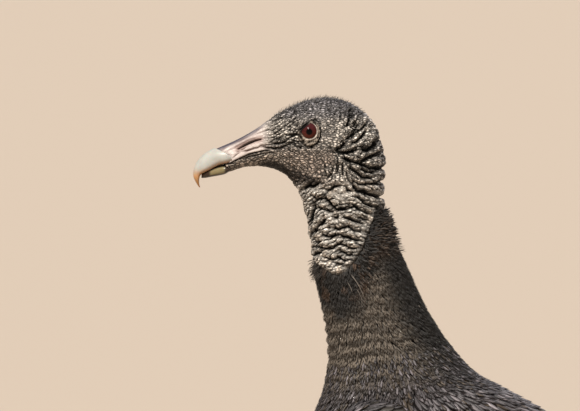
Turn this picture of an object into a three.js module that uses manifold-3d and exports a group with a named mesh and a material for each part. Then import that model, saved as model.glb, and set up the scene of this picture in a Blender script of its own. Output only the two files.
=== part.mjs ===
// An adult American black vulture, life size, standing still with its wings folded.
// Millimetres, +Z up, floor at z = 0. The bill points to -X and the bird's left side is at -Y.
//
// Every place below is measured from the eye: x is how far behind the eye a point lies, and z is
// its height over the floor. The whole bird is then moved by EYE_X, so that the middle of its
// outline stands over the origin.

import * as THREE from "three";
import { mergeVertices } from "three/addons/utils/BufferGeometryUtils.js";
import Module from "manifold-3d";

const wasm = await Module();
wasm.setup();

// ---------- Driving sizes ----------

const EYE_X = -176.85; // where the eye stands along X
const GAP = 0.3; // what touching pieces keep between them
const CUT_GROW = 0.45; // how much larger a piece is made when it cuts its neighbour
const SIDES = { left: -1, right: 1 }; // the sign of Y on each side

const AROUND = 28; // points in each ring of the body
const EYE_HEIGHT = 482.1;
const EYEBALL = { radius: 7.5, aside: 14.6 };

// The body's outline in profile: each station joins a point on the back to the point of the
// throat or belly that faces it, with half the width there. crown > 0 makes the upper part of
// the ring the wider one.
const BODY = {
  billBase: { back: [-55.8, 471.8], under: [-49.5, 457.4], half: 7.0, crown: 0.0 },
  nostril: { back: [-42.9, 477.6], under: [-38.1, 460.7], half: 8.9, crown: -0.1 },
  lores: { back: [-30.9, 484.5], under: [-26.7, 460.8], half: 11.2, crown: -0.05 },
  forehead: { back: [-23.1, 490.5], under: [-15.9, 456.9], half: 15.0, crown: 0.05 },
  brow: { back: [-12.3, 496.8], under: [-8.1, 448.8], half: 18.9, crown: 0.12 },
  eye: { back: [0.9, 501.7], under: [-4.2, 439.2], half: 20.6, crown: 0.16 },
  crown: { back: [14.1, 502.5], under: [-3.0, 433.2], half: 21.6, crown: 0.14 },
  occiput: { back: [28.5, 496.8], under: [-1.9, 427.8], half: 21.9, crown: 0.08 },
  hindhead: { back: [39.3, 483.6], under: [-0.7, 421.8], half: 21.6, crown: 0.0 },
  napeTop: { back: [44.4, 465.0], under: [0.9, 413.4], half: 21.2, crown: -0.05 },
  nape: { back: [43.8, 443.4], under: [2.2, 403.8], half: 21.2, crown: 0.0 },
  ruff: { back: [48.9, 423.0], under: [3.9, 391.2], half: 22.8, crown: 0.0 },
  midNeck: { back: [59.1, 400.2], under: [7.2, 377.4], half: 25.2, crown: 0.0 },
  lowNeck: { back: [70.5, 375.6], under: [10.5, 359.4], half: 28.6, crown: 0.0 },
  neckBase: { back: [84.9, 353.4], under: [11.1, 342.6], half: 34.0, crown: 0.05 },
  shoulders: { back: [99.9, 337.2], under: [7.2, 323.4], half: 43.5, crown: 0.04 },
  mantle: { back: [120.3, 326.4], under: [-3.3, 298.8], half: 55.0, crown: 0.0 },
  breast: { back: [144.3, 312.9], under: [-6.9, 261.0], half: 62.0, crown: -0.05 },
  keel: { back: [175.5, 297.0], under: [17.1, 217.2], half: 65.5, crown: -0.05 },
  belly: { back: [207.3, 281.4], under: [68.7, 187.8], half: 64.0, crown: -0.05 },
  flank: { back: [235.5, 266.0], under: [138.3, 179.0], half: 53.0, crown: 0.0 },
  vent: { back: [262.0, 250.0], under: [218.0, 186.0], half: 38.0, crown: 0.0 },
  tailRoot: { back: [282.0, 236.0], under: [268.0, 202.0], half: 22.0, crown: 0.0 },
};

// The gape runs from the bill to below the eye, and the jaw's hinge lies behind its corner.
const GAPE = [
  [-62.0, 461.0],
  [-50.1, 462.1],
  [-43.0, 465.6],
  [-35.9, 468.6],
  [-26.3, 471.7],
];
const JAW_HINGE = [-21.5, 466.0];
const JAW_BACK = [-16.5, 452.0];
const JAW_BOTTOM = 440.0; // clear below the chin

// The two horn sheaths of the bill. The upper one is stated by pairs of points, over the ridge
// and along the cutting edge, out to the hook's tip.
const UPPER_HORN = [
  { ridge: [-56.6, 471.4], edge: [-46.6, 463.9], half: 6.6 },
  { ridge: [-61.6, 469.7], edge: [-53.9, 462.0], half: 5.9 },
  { ridge: [-66.5, 465.2], edge: [-60.6, 458.6], half: 5.0 },
  { ridge: [-69.2, 459.8], edge: [-64.7, 456.8], half: 3.8 },
  { ridge: [-69.6, 455.4], edge: [-66.0, 454.3], half: 2.7 },
  { ridge: [-68.2, 451.9], edge: [-66.2, 451.2], half: 1.6 },
];
const HOOK_TIP = [-65.9, 448.6];
const LOWER_HORN = [
  { x: -50.6, top: 460.9, bottom: 457.3, half: 5.2 },
  { x: -55.0, top: 460.2, bottom: 456.0, half: 4.7 },
  { x: -59.0, top: 458.6, bottom: 455.1, half: 3.9 },
  { x: -62.2, top: 456.1, bottom: 454.4, half: 2.8 },
];
const LOWER_HORN_TIP = [-64.4, 454.6];

// The nostril is a long slit that runs right through the bill, as it has no wall between its sides.
const NOSTRIL = { front: [-42.0, 472.6], middle: [-36.5, 475.6], rear: [-29.8, 477.6], wide: 1.7 };

// The folded wing's outline: where its upper edge lies along the back and its lower edge along
// the flank, each with its distance from the bird's middle plane, and how far the wing bulges.
const WING = {
  wrist: { up: [11.0, 304.0, 52], low: [5.0, 284.0, 57], bulge: 6 },
  wristBend: { up: [24.3, 319.8, 43], low: [6.0, 262.0, 62], bulge: 17 },
  elbow: { up: [58.0, 327.0, 29], low: [21.0, 224.0, 68], bulge: 27 },
  scapular: { up: [102.3, 320.5, 13], low: [57.3, 197.0, 74], bulge: 38 },
  tertials: { up: [156.0, 303.0, 6], low: [112.0, 185.5, 77], bulge: 42 },
  secondaries: { up: [210.3, 278.5, 5], low: [174.3, 181.8, 75], bulge: 36 },
  primaries: { up: [264.0, 250.5, 6], low: [237.0, 172.0, 67], bulge: 25 },
  crossing: { up: [318.3, 219.0, 8], low: [299.1, 165.0, 53], bulge: 13 },
  outerTips: { up: [357.0, 194.0, 9], low: [344.0, 163.5, 43], bulge: 6 },
  tips: { up: [392.0, 171.0, 12], low: [388.0, 164.5, 33], bulge: 2 },
  lastTip: { up: [409.0, 158.5, 17], low: [408.0, 156.5, 26], bulge: 0.5 },
};
const WING_ACROSS = 9; // points over the wing from edge to edge
const WING_EDGE = 2.4; // thickness along the edges
const WING_MIDDLE = 13; // thickness where the arm and the coverts are

// The tail is a slightly arched fan of twelve feathers.
const TAIL = {
  root: [261.3, 236.0],
  tip: [423.3, 138.0],
  rootHalf: 27,
  tipHalf: 43,
  thickRoot: 8,
  thickTip: 2.6,
  arch: 7,
  roundTip: 10, // how far the middle feathers reach past the outer ones
};

// The legs. Each shank is the feathered drumstick, and the tarsus below it is bare.
const SHANK = [
  { at: [142.0, 36, 214.0], along: 33, across: 22 },
  { at: [148.0, 37, 182.0], along: 27, across: 20.5 },
  { at: [155.0, 38, 148.0], along: 19, across: 15.5 },
  { at: [161.5, 39, 114.0], along: 11.5, across: 10 },
  { at: [166.4, 40, 88.5], along: 7.8, across: 7.2 },
];
const ANKLE = [167.6, 40, 90.0]; // just inside the shank, which cuts the tarsus to fit
const FOOT = [145.0, 41, 9.0];
const TARSUS = [
  { share: 0.0, along: 7.0, across: 6.4 },
  { share: 0.12, along: 8.0, across: 7.0 },
  { share: 0.3, along: 5.4, across: 4.9 },
  { share: 0.75, along: 5.0, across: 4.8 },
  { share: 0.94, along: 6.6, across: 6.8 },
];
const TOES = {
  inner: { turn: 27, length: 41, root: 5.2, end: 3.8, knuckles: 2 },
  middle: { turn: 2, length: 63, root: 5.6, end: 3.9, knuckles: 3 },
  outer: { turn: -26, length: 47, root: 5.2, end: 3.8, knuckles: 3 },
  hind: { turn: 172, length: 20, root: 4.6, end: 3.6, knuckles: 1 },
};
const PAD = { radius: 9.5, height: 12.0 };
const SOLE_SINK = 0.8; // a toe's middle stands at this share of its radius, which flattens the sole
const CLAW = { length: 13, root: 2.7, tip: 0.45, tipHeight: 1.2, arch: 2.4 };

// ---------- Materials ----------

function finish(colour, roughness) {
  return new THREE.MeshStandardMaterial({ color: colour, roughness, metalness: 0 });
}

const MATERIALS = {
  skin: finish(0x5d5b5e, 0.75), // the bare grey skin of the head, upper neck and jaw
  plumage: finish(0x2c2826, 0.8), // the black body feathers
  flight: finish(0x1f1c1b, 0.6), // wing and tail feathers, a little glossier
  horn: finish(0xd5d3c6, 0.45), // the pale sheaths of the bill
  eye: finish(0x2a1512, 0.08), // the dark wet eyeball
  scute: finish(0x8b867e, 0.8), // the grey-white scales of legs and toes
  claw: finish(0x2b2725, 0.5), // the dark horn of the claws
};

// ---------- Helpers: lofts, cuts and named pieces ----------

const { lerp, degToRad } = THREE.MathUtils;
const clamped = (value, low, high) => Math.min(high, Math.max(low, value));
const point3 = (x, y, z) => new THREE.Vector3(x, y, z);
const profile = ([x, z]) => point3(x, 0, z);

// A closed solid through a row of rings that all have the same number of points. Both ends are
// closed by a fan round the middle of the end ring.
function loft(rings) {
  const count = rings[0].length;
  const points = rings.flat();
  const index = [];
  for (let r = 0; r + 1 < rings.length; r++) {
    for (let k = 0; k < count; k++) {
      const next = (k + 1) % count;
      const a = r * count + k;
      const b = r * count + next;
      index.push(a, b, b + count, a, b + count, a + count);
    }
  }
  for (const [ring, start, flip] of [
    [rings[0], 0, true],
    [rings.at(-1), (rings.length - 1) * count, false],
  ]) {
    const middle = new THREE.Vector3();
    ring.forEach((p) => middle.addScaledVector(p, 1 / count));
    points.push(middle);
    for (let k = 0; k < count; k++) {
      const a = start + k;
      const b = start + ((k + 1) % count);
      index.push(...(flip ? [b, a, points.length - 1] : [a, b, points.length - 1]));
    }
  }
  return facingOut(solidGeometry(points, index));
}

function solidGeometry(points, index) {
  const geometry = new THREE.BufferGeometry().setFromPoints(points);
  geometry.setIndex(index);
  return geometry;
}

// Turns every triangle round if the volume they enclose comes out negative.
function facingOut(geometry) {
  const at = geometry.attributes.position;
  const index = geometry.index.array;
  const corner = [new THREE.Vector3(), new THREE.Vector3(), new THREE.Vector3()];
  let volume = 0;
  for (let i = 0; i < index.length; i += 3) {
    corner.forEach((c, k) => c.fromBufferAttribute(at, index[i + k]));
    volume += corner[0].dot(corner[1].clone().cross(corner[2]));
  }
  if (volume < 0) {
    for (let i = 0; i < index.length; i += 3) {
      [index[i], index[i + 1]] = [index[i + 1], index[i]];
    }
  }
  return geometry;
}

// An ellipse of points round a centre, in the plane of the two directions given.
function ellipse(centre, along, across, count) {
  return Array.from({ length: count }, (_, k) => {
    const turn = (2 * Math.PI * k) / count;
    return centre
      .clone()
      .addScaledVector(along, Math.cos(turn))
      .addScaledVector(across, Math.sin(turn));
  });
}

function toSolid(geometry) {
  const bare = geometry.clone();
  bare.deleteAttribute("normal");
  bare.deleteAttribute("uv");
  const merged = mergeVertices(bare);
  const mesh = new wasm.Mesh({
    numProp: 3,
    vertProperties: new Float32Array(merged.attributes.position.array),
    triVerts: new Uint32Array(merged.index.array),
  });
  return new wasm.Manifold(mesh);
}

function toGeometry(solid) {
  const mesh = solid.getMesh();
  const geometry = new THREE.BufferGeometry();
  geometry.setAttribute("position", new THREE.BufferAttribute(mesh.vertProperties, 3));
  geometry.setIndex(new THREE.BufferAttribute(mesh.triVerts, 1));
  return geometry;
}

// The same shape made larger all round, so that what it cuts keeps a gap to it. Each corner moves
// far enough that every face round it moves out by the same amount.
function grown(geometry, by = CUT_GROW) {
  const larger = mergeVertices(geometry.clone());
  const at = larger.attributes.position;
  const index = larger.index.array;
  const faces = Array.from({ length: at.count }, () => []);
  for (let i = 0; i < index.length; i += 3) {
    const [a, b, c] = [0, 1, 2].map((k) => new THREE.Vector3().fromBufferAttribute(at, index[i + k]));
    const normal = b.sub(a).cross(c.sub(a)).normalize();
    for (let k = 0; k < 3; k++) faces[index[i + k]].push(normal);
  }
  const most = 2.5 * by;
  faces.forEach((normals, i) => {
    const way = normals.reduce((sum, n) => sum.add(n), new THREE.Vector3()).normalize();
    const least = Math.min(...normals.map((n) => n.dot(way)));
    const point = new THREE.Vector3().fromBufferAttribute(at, i);
    point.addScaledVector(way, Math.min(most, by / Math.max(least, 0.1)));
    at.setXYZ(i, point.x, point.y, point.z);
  });
  return larger;
}

function without(geometry, cutters) {
  const cut = cutters.reduce((solid, cutter) => solid.subtract(toSolid(cutter)), toSolid(geometry));
  return toGeometry(cut);
}

function joined(geometries) {
  return toGeometry(geometries.map(toSolid).reduce((a, b) => a.add(b)));
}

const bird = new THREE.Group();
bird.position.x = EYE_X;

function add(name, geometry, material) {
  const plain = geometry.index ? geometry.toNonIndexed() : geometry;
  plain.computeVertexNormals();
  const mesh = new THREE.Mesh(plain, material);
  mesh.name = name;
  bird.add(mesh);
}

// ---------- Body rings: head, neck and trunk share one spine of stations ----------

const stations = Object.values(BODY);
const place = Object.fromEntries(Object.keys(BODY).map((name, i) => [name, i]));
const lineThrough = (list, pick) => new THREE.CatmullRomCurve3(list.map(pick));
const backLine = lineThrough(stations, ({ back, half }) => point3(back[0], half, back[1]));
const underLine = lineThrough(stations, ({ under }) => profile(under));
const SECTION_POWER = 0.92; // under 1 fills the ring's corners a little more than an ellipse

// The ring at a station number, which may lie between two stations.
function bodyRing(at) {
  const share = clamped(at / (stations.length - 1), 0, 1);
  const back = backLine.getPoint(share);
  const half = back.y;
  back.y = 0;
  const under = underLine.getPoint(share);
  const low = Math.floor(clamped(at, 0, stations.length - 2));
  const crown = lerp(stations[low].crown, stations[low + 1].crown, at - low);
  const middle = back.clone().add(under).multiplyScalar(0.5);
  const up = back.clone().sub(middle);
  return Array.from({ length: AROUND }, (_, k) => {
    const turn = (2 * Math.PI * k) / AROUND;
    const round = Math.sign(Math.sin(turn)) * Math.abs(Math.sin(turn)) ** SECTION_POWER;
    const point = middle.clone().addScaledVector(up, Math.cos(turn));
    point.y = half * round * (1 + crown * Math.cos(turn));
    return point;
  });
}

function bodyPiece(from, to, steps) {
  return loft(Array.from({ length: steps + 1 }, (_, i) => bodyRing(lerp(from, to, i / steps))));
}

const PARTING = 0.04; // of a station, which keeps the gap where the body is parted

// ---------- Bill: two horn sheaths, the upper one hooked ----------

function upperHorn() {
  const rings = UPPER_HORN.map(({ ridge, edge, half }) => {
    const top = profile(ridge);
    const low = profile(edge);
    const middle = top.clone().add(low).multiplyScalar(0.5);
    return ellipse(middle, top.sub(middle), point3(0, half, 0), 16);
  });
  const tip = ellipse(profile(HOOK_TIP), point3(-0.35, 0, -0.1), point3(0, 0.35, 0), 16);
  return loft([...rings, tip]);
}

function lowerHorn() {
  const rings = LOWER_HORN.map(({ x, top, bottom, half }) =>
    ellipse(point3(x, 0, (top + bottom) / 2), point3(0, 0, (top - bottom) / 2), point3(0, half, 0), 14),
  );
  const tip = ellipse(profile(LOWER_HORN_TIP), point3(0, 0, 0.4), point3(0, 1.2, 0), 14);
  return loft([...rings, tip]);
}

// ---------- Head: skull with its sockets, and the lower jaw parted along the gape ----------

// A profile drawn in X and Z, made into a block that reaches right across the head.
function acrossHead(outline) {
  const wide = 60;
  const block = new THREE.ExtrudeGeometry(outline, { depth: wide, bevelEnabled: false, curveSegments: 4 });
  return block.rotateX(Math.PI / 2).translate(0, wide / 2, 0);
}

function eyeball(side, radius) {
  const ball = new THREE.SphereGeometry(radius, 14, 10);
  return ball.translate(0, side * EYEBALL.aside, EYE_HEIGHT);
}

// The room that the lower jaw takes up: below the gape and in front of the hinge.
function jawRoom(grow) {
  const outline = new THREE.Shape();
  outline.moveTo(GAPE[0][0], GAPE[0][1] + grow);
  for (const [x, z] of GAPE.slice(1)) outline.lineTo(x, z + grow);
  outline.lineTo(JAW_HINGE[0] + grow, JAW_HINGE[1] + grow / 2);
  outline.lineTo(JAW_BACK[0] + grow, JAW_BACK[1]);
  outline.lineTo(JAW_BACK[0] + grow, JAW_BOTTOM);
  outline.lineTo(GAPE[0][0], JAW_BOTTOM);
  return acrossHead(outline);
}

function nostril() {
  const { front, middle, rear, wide } = NOSTRIL;
  const outline = new THREE.Shape();
  outline.moveTo(...front);
  outline.quadraticCurveTo(middle[0], middle[1] + wide, ...rear);
  outline.quadraticCurveTo(middle[0], middle[1] - wide, ...front);
  return acrossHead(outline);
}

function addHead() {
  const whole = bodyPiece(place.billBase, place.hindhead, 14);
  const upper = upperHorn();
  const lower = lowerHorn();
  const sheaths = [grown(upper), grown(lower)];
  const sockets = Object.values(SIDES).map((side) => eyeball(side, EYEBALL.radius + CUT_GROW));
  add("head", without(whole, [jawRoom(GAP), nostril(), ...sheaths, ...sockets]), MATERIALS.skin);
  const jaw = toGeometry(toSolid(whole).intersect(toSolid(jawRoom(0))));
  add("lower_jaw", without(jaw, sheaths), MATERIALS.skin);
  add("bill_upper", upper, MATERIALS.horn);
  add("bill_lower", lower, MATERIALS.horn);
  for (const [name, side] of Object.entries(SIDES)) {
    add(`eye_${name}`, eyeball(side, EYEBALL.radius), MATERIALS.eye);
  }
}

// ---------- Wings: a thick curved plate over each side, from the wrist to the tips ----------

const wingStations = Object.values(WING);
const wingUpper = lineThrough(wingStations, ({ up }) => point3(up[0], up[2], up[1]));
const wingLower = lineThrough(wingStations, ({ low }) => point3(low[0], low[2], low[1]));
const wingBulge = lineThrough(wingStations, ({ bulge }) => point3(bulge, 0, 0));
const WING_RINGS = 18;

// A point of the wing's outer face. across runs from the back (0) to the flank (1).
function wingPoint(share, across) {
  const up = wingUpper.getPoint(share);
  const low = wingLower.getPoint(share);
  const bulge = wingBulge.getPoint(share).x;
  const nearBack = up.clone().lerp(low, 0.04);
  nearBack.y = lerp(up.y, low.y, 0.75) + bulge * 0.45;
  const nearFlank = up.clone().lerp(low, 0.5);
  nearFlank.y = low.y + bulge * 0.62;
  return new THREE.CubicBezierCurve3(up, nearBack, nearFlank, low).getPoint(across);
}

// How the outer face runs at a point, along the wing or over it, as a short difference.
function wingSlope(share, across, alongStep, overStep) {
  const ahead = wingPoint(clamped(share + alongStep, 0, 1), clamped(across + overStep, 0, 1));
  return ahead.sub(wingPoint(clamped(share - alongStep, 0, 1), clamped(across - overStep, 0, 1)));
}

function wing(side) {
  const step = 1e-3;
  const rings = Array.from({ length: WING_RINGS + 1 }, (_, r) => {
    const share = r / WING_RINGS;
    const outer = [];
    const inner = [];
    const fullness = Math.sin(Math.PI * clamped(share * 1.15 + 0.06, 0, 1)) ** 0.7;
    for (let k = 0; k < WING_ACROSS; k++) {
      const across = k / (WING_ACROSS - 1);
      const here = wingPoint(share, across);
      const inward = wingSlope(share, across, 0, step).cross(wingSlope(share, across, step, 0)).normalize();
      const thick = WING_EDGE + (WING_MIDDLE - WING_EDGE) * fullness * Math.sin(Math.PI * across) ** 0.8;
      outer.push(here);
      inner.push(here.clone().addScaledVector(inward, inward.y < 0 ? thick : -thick));
    }
    return [...outer, ...inner.reverse()];
  });
  for (const ring of rings) for (const point of ring) point.y *= side;
  return loft(rings);
}

// ---------- Tail: one arched plate, round at its end ----------

function tail() {
  const across = 9;
  const steps = 7;
  const rings = Array.from({ length: steps + 1 }, (_, r) => {
    const share = r / steps;
    const half = lerp(TAIL.rootHalf, TAIL.tipHalf, share ** 0.8);
    const thick = lerp(TAIL.thickRoot, TAIL.thickTip, share ** 0.6);
    const top = [];
    const low = [];
    for (let k = 0; k < across; k++) {
      const aside = (2 * k) / (across - 1) - 1;
      const reach = share * (1 - (TAIL.roundTip / (TAIL.tip[0] - TAIL.root[0])) * aside ** 2);
      const x = lerp(TAIL.root[0], TAIL.tip[0], reach);
      const z = lerp(TAIL.root[1], TAIL.tip[1], reach) - TAIL.arch * aside ** 2;
      top.push(point3(x, aside * half, z + thick / 2));
      low.push(point3(x, aside * half, z - thick / 2));
    }
    return [...top, ...low.reverse()];
  });
  return loft(rings);
}

// ---------- Legs ----------

// Rings that lean with the limb: each lies square to the line through the points round it.
function limb(points, radii, count) {
  const line = new THREE.CatmullRomCurve3(points);
  return radii.map(({ along, across }, i) => {
    const share = i / (radii.length - 1);
    const direction = line.getTangent(share);
    const sideways = point3(0, 1, 0);
    const forward = sideways.clone().cross(direction).normalize();
    return ellipse(points[i], forward.multiplyScalar(along), sideways.multiplyScalar(across), count);
  });
}

function shank(side) {
  const points = SHANK.map(({ at: [x, y, z] }) => point3(x, side * y, z));
  return loft(limb(points, SHANK, 18));
}

function tarsus(side, shankSolid) {
  const from = point3(ANKLE[0], side * ANKLE[1], ANKLE[2]);
  const to = point3(FOOT[0], side * FOOT[1], FOOT[2]);
  const whole = loft(limb(TARSUS.map(({ share }) => from.clone().lerp(to, share)), TARSUS, 12));
  return without(whole, [grown(shankSolid)]);
}

// The way a toe points from the foot, as a unit vector along the floor. Toes spread outward.
function toeWay(turn, side) {
  const angle = degToRad(turn);
  return point3(-Math.cos(angle), -side * Math.sin(angle), 0);
}

// A toe is a tube that swells at its knuckle pads. What would lie below the floor is laid flat on it.
function toe({ turn, length, root, end, knuckles }, side) {
  const way = toeWay(turn, side);
  const aside = point3(0, 0, 1).cross(way);
  const steps = 2 * (knuckles + 1);
  const rings = Array.from({ length: steps + 1 }, (_, i) => {
    const share = i / steps;
    const swell = i % 2 ? 0.93 : 1.06;
    const radius = lerp(root, end, share) * swell;
    const middle = way.clone().multiplyScalar(share * length);
    middle.z = radius * SOLE_SINK;
    const ring = ellipse(middle, point3(0, 0, radius), aside.clone().multiplyScalar(radius), 8);
    ring.forEach((p) => (p.z = Math.max(p.z, 0)));
    return ring;
  });
  return loft(rings);
}

function pad() {
  const dome = [0, 0.35, 0.7, 0.94].map((share) => {
    const radius = PAD.radius * Math.sqrt(1 - share ** 2);
    return ellipse(point3(0, 0, share * PAD.height), point3(radius, 0, 0), point3(0, radius * 0.9, 0), 14);
  });
  return loft(dome);
}

function claw({ turn, length, end }, side) {
  const way = toeWay(turn, side);
  const aside = point3(0, 0, 1).cross(way);
  const steps = 4;
  const rootHeight = end * SOLE_SINK + 0.4;
  const rings = Array.from({ length: steps + 1 }, (_, i) => {
    const share = i / steps;
    const radius = lerp(CLAW.root, CLAW.tip, share ** 0.9);
    const middle = way.clone().multiplyScalar(length + GAP + share * CLAW.length);
    const arch = CLAW.arch * Math.sin(Math.PI * share);
    middle.z = lerp(rootHeight, CLAW.tipHeight, share ** 2) + arch;
    return ellipse(middle, point3(0, 0, radius), aside.clone().multiplyScalar(radius * 0.8), 6);
  });
  return loft(rings);
}

function addLegs(shanks) {
  for (const [name, side] of Object.entries(SIDES)) {
    add(`shank_${name}`, shanks[name], MATERIALS.plumage);
    add(`tarsus_${name}`, tarsus(side, shanks[name]), MATERIALS.scute);
    const stand = (geometry) => geometry.translate(FOOT[0], side * FOOT[1], 0);
    const toes = Object.values(TOES).map((shape) => toe(shape, side));
    add(`foot_${name}`, stand(joined([pad(), ...toes])), MATERIALS.scute);
    for (const [which, shape] of Object.entries(TOES)) {
      add(`claw_${name}_${which}`, stand(claw(shape, side)), MATERIALS.claw);
    }
  }
}

// ---------- The bird ----------

addHead();
add("neck_upper", bodyPiece(place.hindhead + PARTING, place.ruff, 7), MATERIALS.skin);
add("neck_lower", bodyPiece(place.ruff + PARTING, place.neckBase, 6), MATERIALS.plumage);

const wings = { left: wing(SIDES.left), right: wing(SIDES.right) };
const shanks = { left: shank(SIDES.left), right: shank(SIDES.right) };
const tailFan = without(tail(), Object.values(wings).map((w) => grown(w)));
const cutters = [...Object.values(wings), ...Object.values(shanks), tail()].map((g) => grown(g));
add("trunk", without(bodyPiece(place.neckBase + PARTING, place.tailRoot, 14), cutters), MATERIALS.plumage);
add("wing_left", wings.left, MATERIALS.flight);
add("wing_right", wings.right, MATERIALS.flight);
add("tail", tailFan, MATERIALS.flight);
addLegs(shanks);

export default bird;
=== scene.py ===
"""An adult American black vulture, life size, standing still with its wings folded.

Lengths are worked out in millimetres, from the eye along X and from the floor along Z, and turned
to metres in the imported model's frame when a mesh is made. The bill points to -X, and the bird's
left side is at -Y.
"""

import math

import bpy
import numpy as np
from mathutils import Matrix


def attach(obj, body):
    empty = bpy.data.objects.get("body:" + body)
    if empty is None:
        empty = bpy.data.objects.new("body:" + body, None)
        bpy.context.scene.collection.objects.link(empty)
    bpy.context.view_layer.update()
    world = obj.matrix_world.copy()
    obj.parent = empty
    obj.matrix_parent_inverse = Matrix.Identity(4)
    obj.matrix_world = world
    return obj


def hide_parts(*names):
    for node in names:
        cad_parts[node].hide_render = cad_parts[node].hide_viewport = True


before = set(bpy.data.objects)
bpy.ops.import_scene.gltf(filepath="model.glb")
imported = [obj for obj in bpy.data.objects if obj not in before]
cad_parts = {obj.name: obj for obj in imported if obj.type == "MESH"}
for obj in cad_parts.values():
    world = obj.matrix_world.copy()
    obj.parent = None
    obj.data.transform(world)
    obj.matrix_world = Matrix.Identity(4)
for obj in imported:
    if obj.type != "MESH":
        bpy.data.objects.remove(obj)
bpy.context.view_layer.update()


# ---------- Camera ----------
# A long lens five metres off, a little above the bird's head, as a bird watcher would use it. Its
# picture is 348 mm wide where the bird stands, which makes 0.6 mm for each of its 580 columns.

MM = 0.001
EYE_X = -176.85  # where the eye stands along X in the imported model's frame
PICTURE_WIDTH = 348.0
PICTURE_MIDDLE = (-188.55, 0.0, 437.7)
CAMERA_AWAY = 5000.0
CAMERA_ABOVE = math.radians(2.5)

lens = bpy.data.cameras.new("long_lens")
lens.sensor_width = 36.0
lens.lens = lens.sensor_width * CAMERA_AWAY / PICTURE_WIDTH
lens.clip_start = 0.1
lens.clip_end = 400.0
camera = bpy.data.objects.new("camera", lens)
bpy.context.scene.collection.objects.link(camera)
camera.location = (
    PICTURE_MIDDLE[0] * MM,
    (PICTURE_MIDDLE[1] - CAMERA_AWAY * math.cos(CAMERA_ABOVE)) * MM,
    (PICTURE_MIDDLE[2] + CAMERA_AWAY * math.sin(CAMERA_ABOVE)) * MM,
)
camera.rotation_euler = (math.pi / 2 - CAMERA_ABOVE, 0, 0)
bpy.context.scene.camera = camera


# ---------- Floor and light ----------
# A plain pale sand-coloured floor without an edge in sight, under a pale sky. A soft sun stands
# high in front of the bird, and a wide faint one behind it.


def linear(hex_colour):
    """An sRGB colour such as 'e6d4c1' as linear red, green, blue and 1."""
    channels = [int(hex_colour[i : i + 2], 16) / 255 for i in (0, 2, 4)]
    return [c / 12.92 if c <= 0.04045 else ((c + 0.055) / 1.055) ** 2.4 for c in channels] + [1.0]


def new_material(name):
    """An empty node material, its tree and its output node."""
    material = bpy.data.materials.new(name)
    material.use_nodes = True
    tree = material.node_tree
    tree.nodes.clear()
    return material, tree, tree.nodes.new("ShaderNodeOutputMaterial")


def node(tree, kind, settings=None, **links):
    """Adds a node. settings sets its properties, and each link is a socket's value or what feeds it.

    Underscores in a socket's name stand for spaces, and a name such as _1 is the input's number.
    """
    made = tree.nodes.new("ShaderNode" + kind)
    for key, value in (settings or {}).items():
        setattr(made, key, value)
    for key, value in links.items():
        socket = made.inputs[int(key[1:]) if key[0] == "_" else key.replace("_", " ")]
        if isinstance(value, bpy.types.NodeSocket):
            tree.links.new(value, socket)
        else:
            socket.default_value = value
    return made


def turns(count):
    """Turns in radians that go once round in equal steps."""
    return np.linspace(0, 2 * math.pi, count, endpoint=False)


# Fine dry sand, matte, so that it carries only soft shadows.
FLOOR_COLOUR = "bbad9e"
FLOOR_RADIUS = 150.0  # in metres
FLOOR_SIDES = 48
floor_material, tree, out = new_material("matte_sand_floor")
shader = node(tree, "BsdfPrincipled", Base_Color=linear(FLOOR_COLOUR), Roughness=0.95)
tree.links.new(shader.outputs[0], out.inputs[0])
floor_mesh = bpy.data.meshes.new("floor")
rim = np.stack([np.cos(turns(FLOOR_SIDES)), np.sin(turns(FLOOR_SIDES)), np.zeros(FLOOR_SIDES)], 1)
floor_mesh.from_pydata((FLOOR_RADIUS * rim).tolist(), [], [list(range(FLOOR_SIDES))])
floor_mesh.materials.append(floor_material)
floor = bpy.data.objects.new("floor", floor_mesh)
bpy.context.scene.collection.objects.link(floor)

SKY_COLOUR = "f0ece6"
SKY_STRENGTH = 0.42
world = bpy.data.worlds.new("pale_studio")
world.use_nodes = True
sky = world.node_tree.nodes["Background"]
sky.inputs["Color"].default_value = linear(SKY_COLOUR)
sky.inputs["Strength"].default_value = SKY_STRENGTH
bpy.context.scene.world = world


def add_sun(name, strength, height, turn, softness, colour):
    """A sun lamp, height degrees over the horizon and turned from the camera to the bird's front."""
    lamp = bpy.data.lights.new(name, "SUN")
    lamp.energy = strength
    lamp.angle = math.radians(softness)
    lamp.color = linear(colour)[:3]
    sun = bpy.data.objects.new(name, lamp)
    bpy.context.scene.collection.objects.link(sun)
    sun.rotation_euler = (math.radians(90 - height), 0, -math.radians(turn))


add_sun("key_sun", strength=4.3, height=50, turn=22, softness=7, colour="fff7ec")
add_sun("behind", strength=0.6, height=35, turn=205, softness=40, colour="f4f2ff")

bpy.context.scene.view_settings.view_transform = "Standard"


# ---------- Shape of head, neck and trunk ----------
# The body is a row of rings from the bill's base to the tail's root, given at the outside of the
# feathers. Everything on it is placed by its ring number and its turn from the back.

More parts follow.
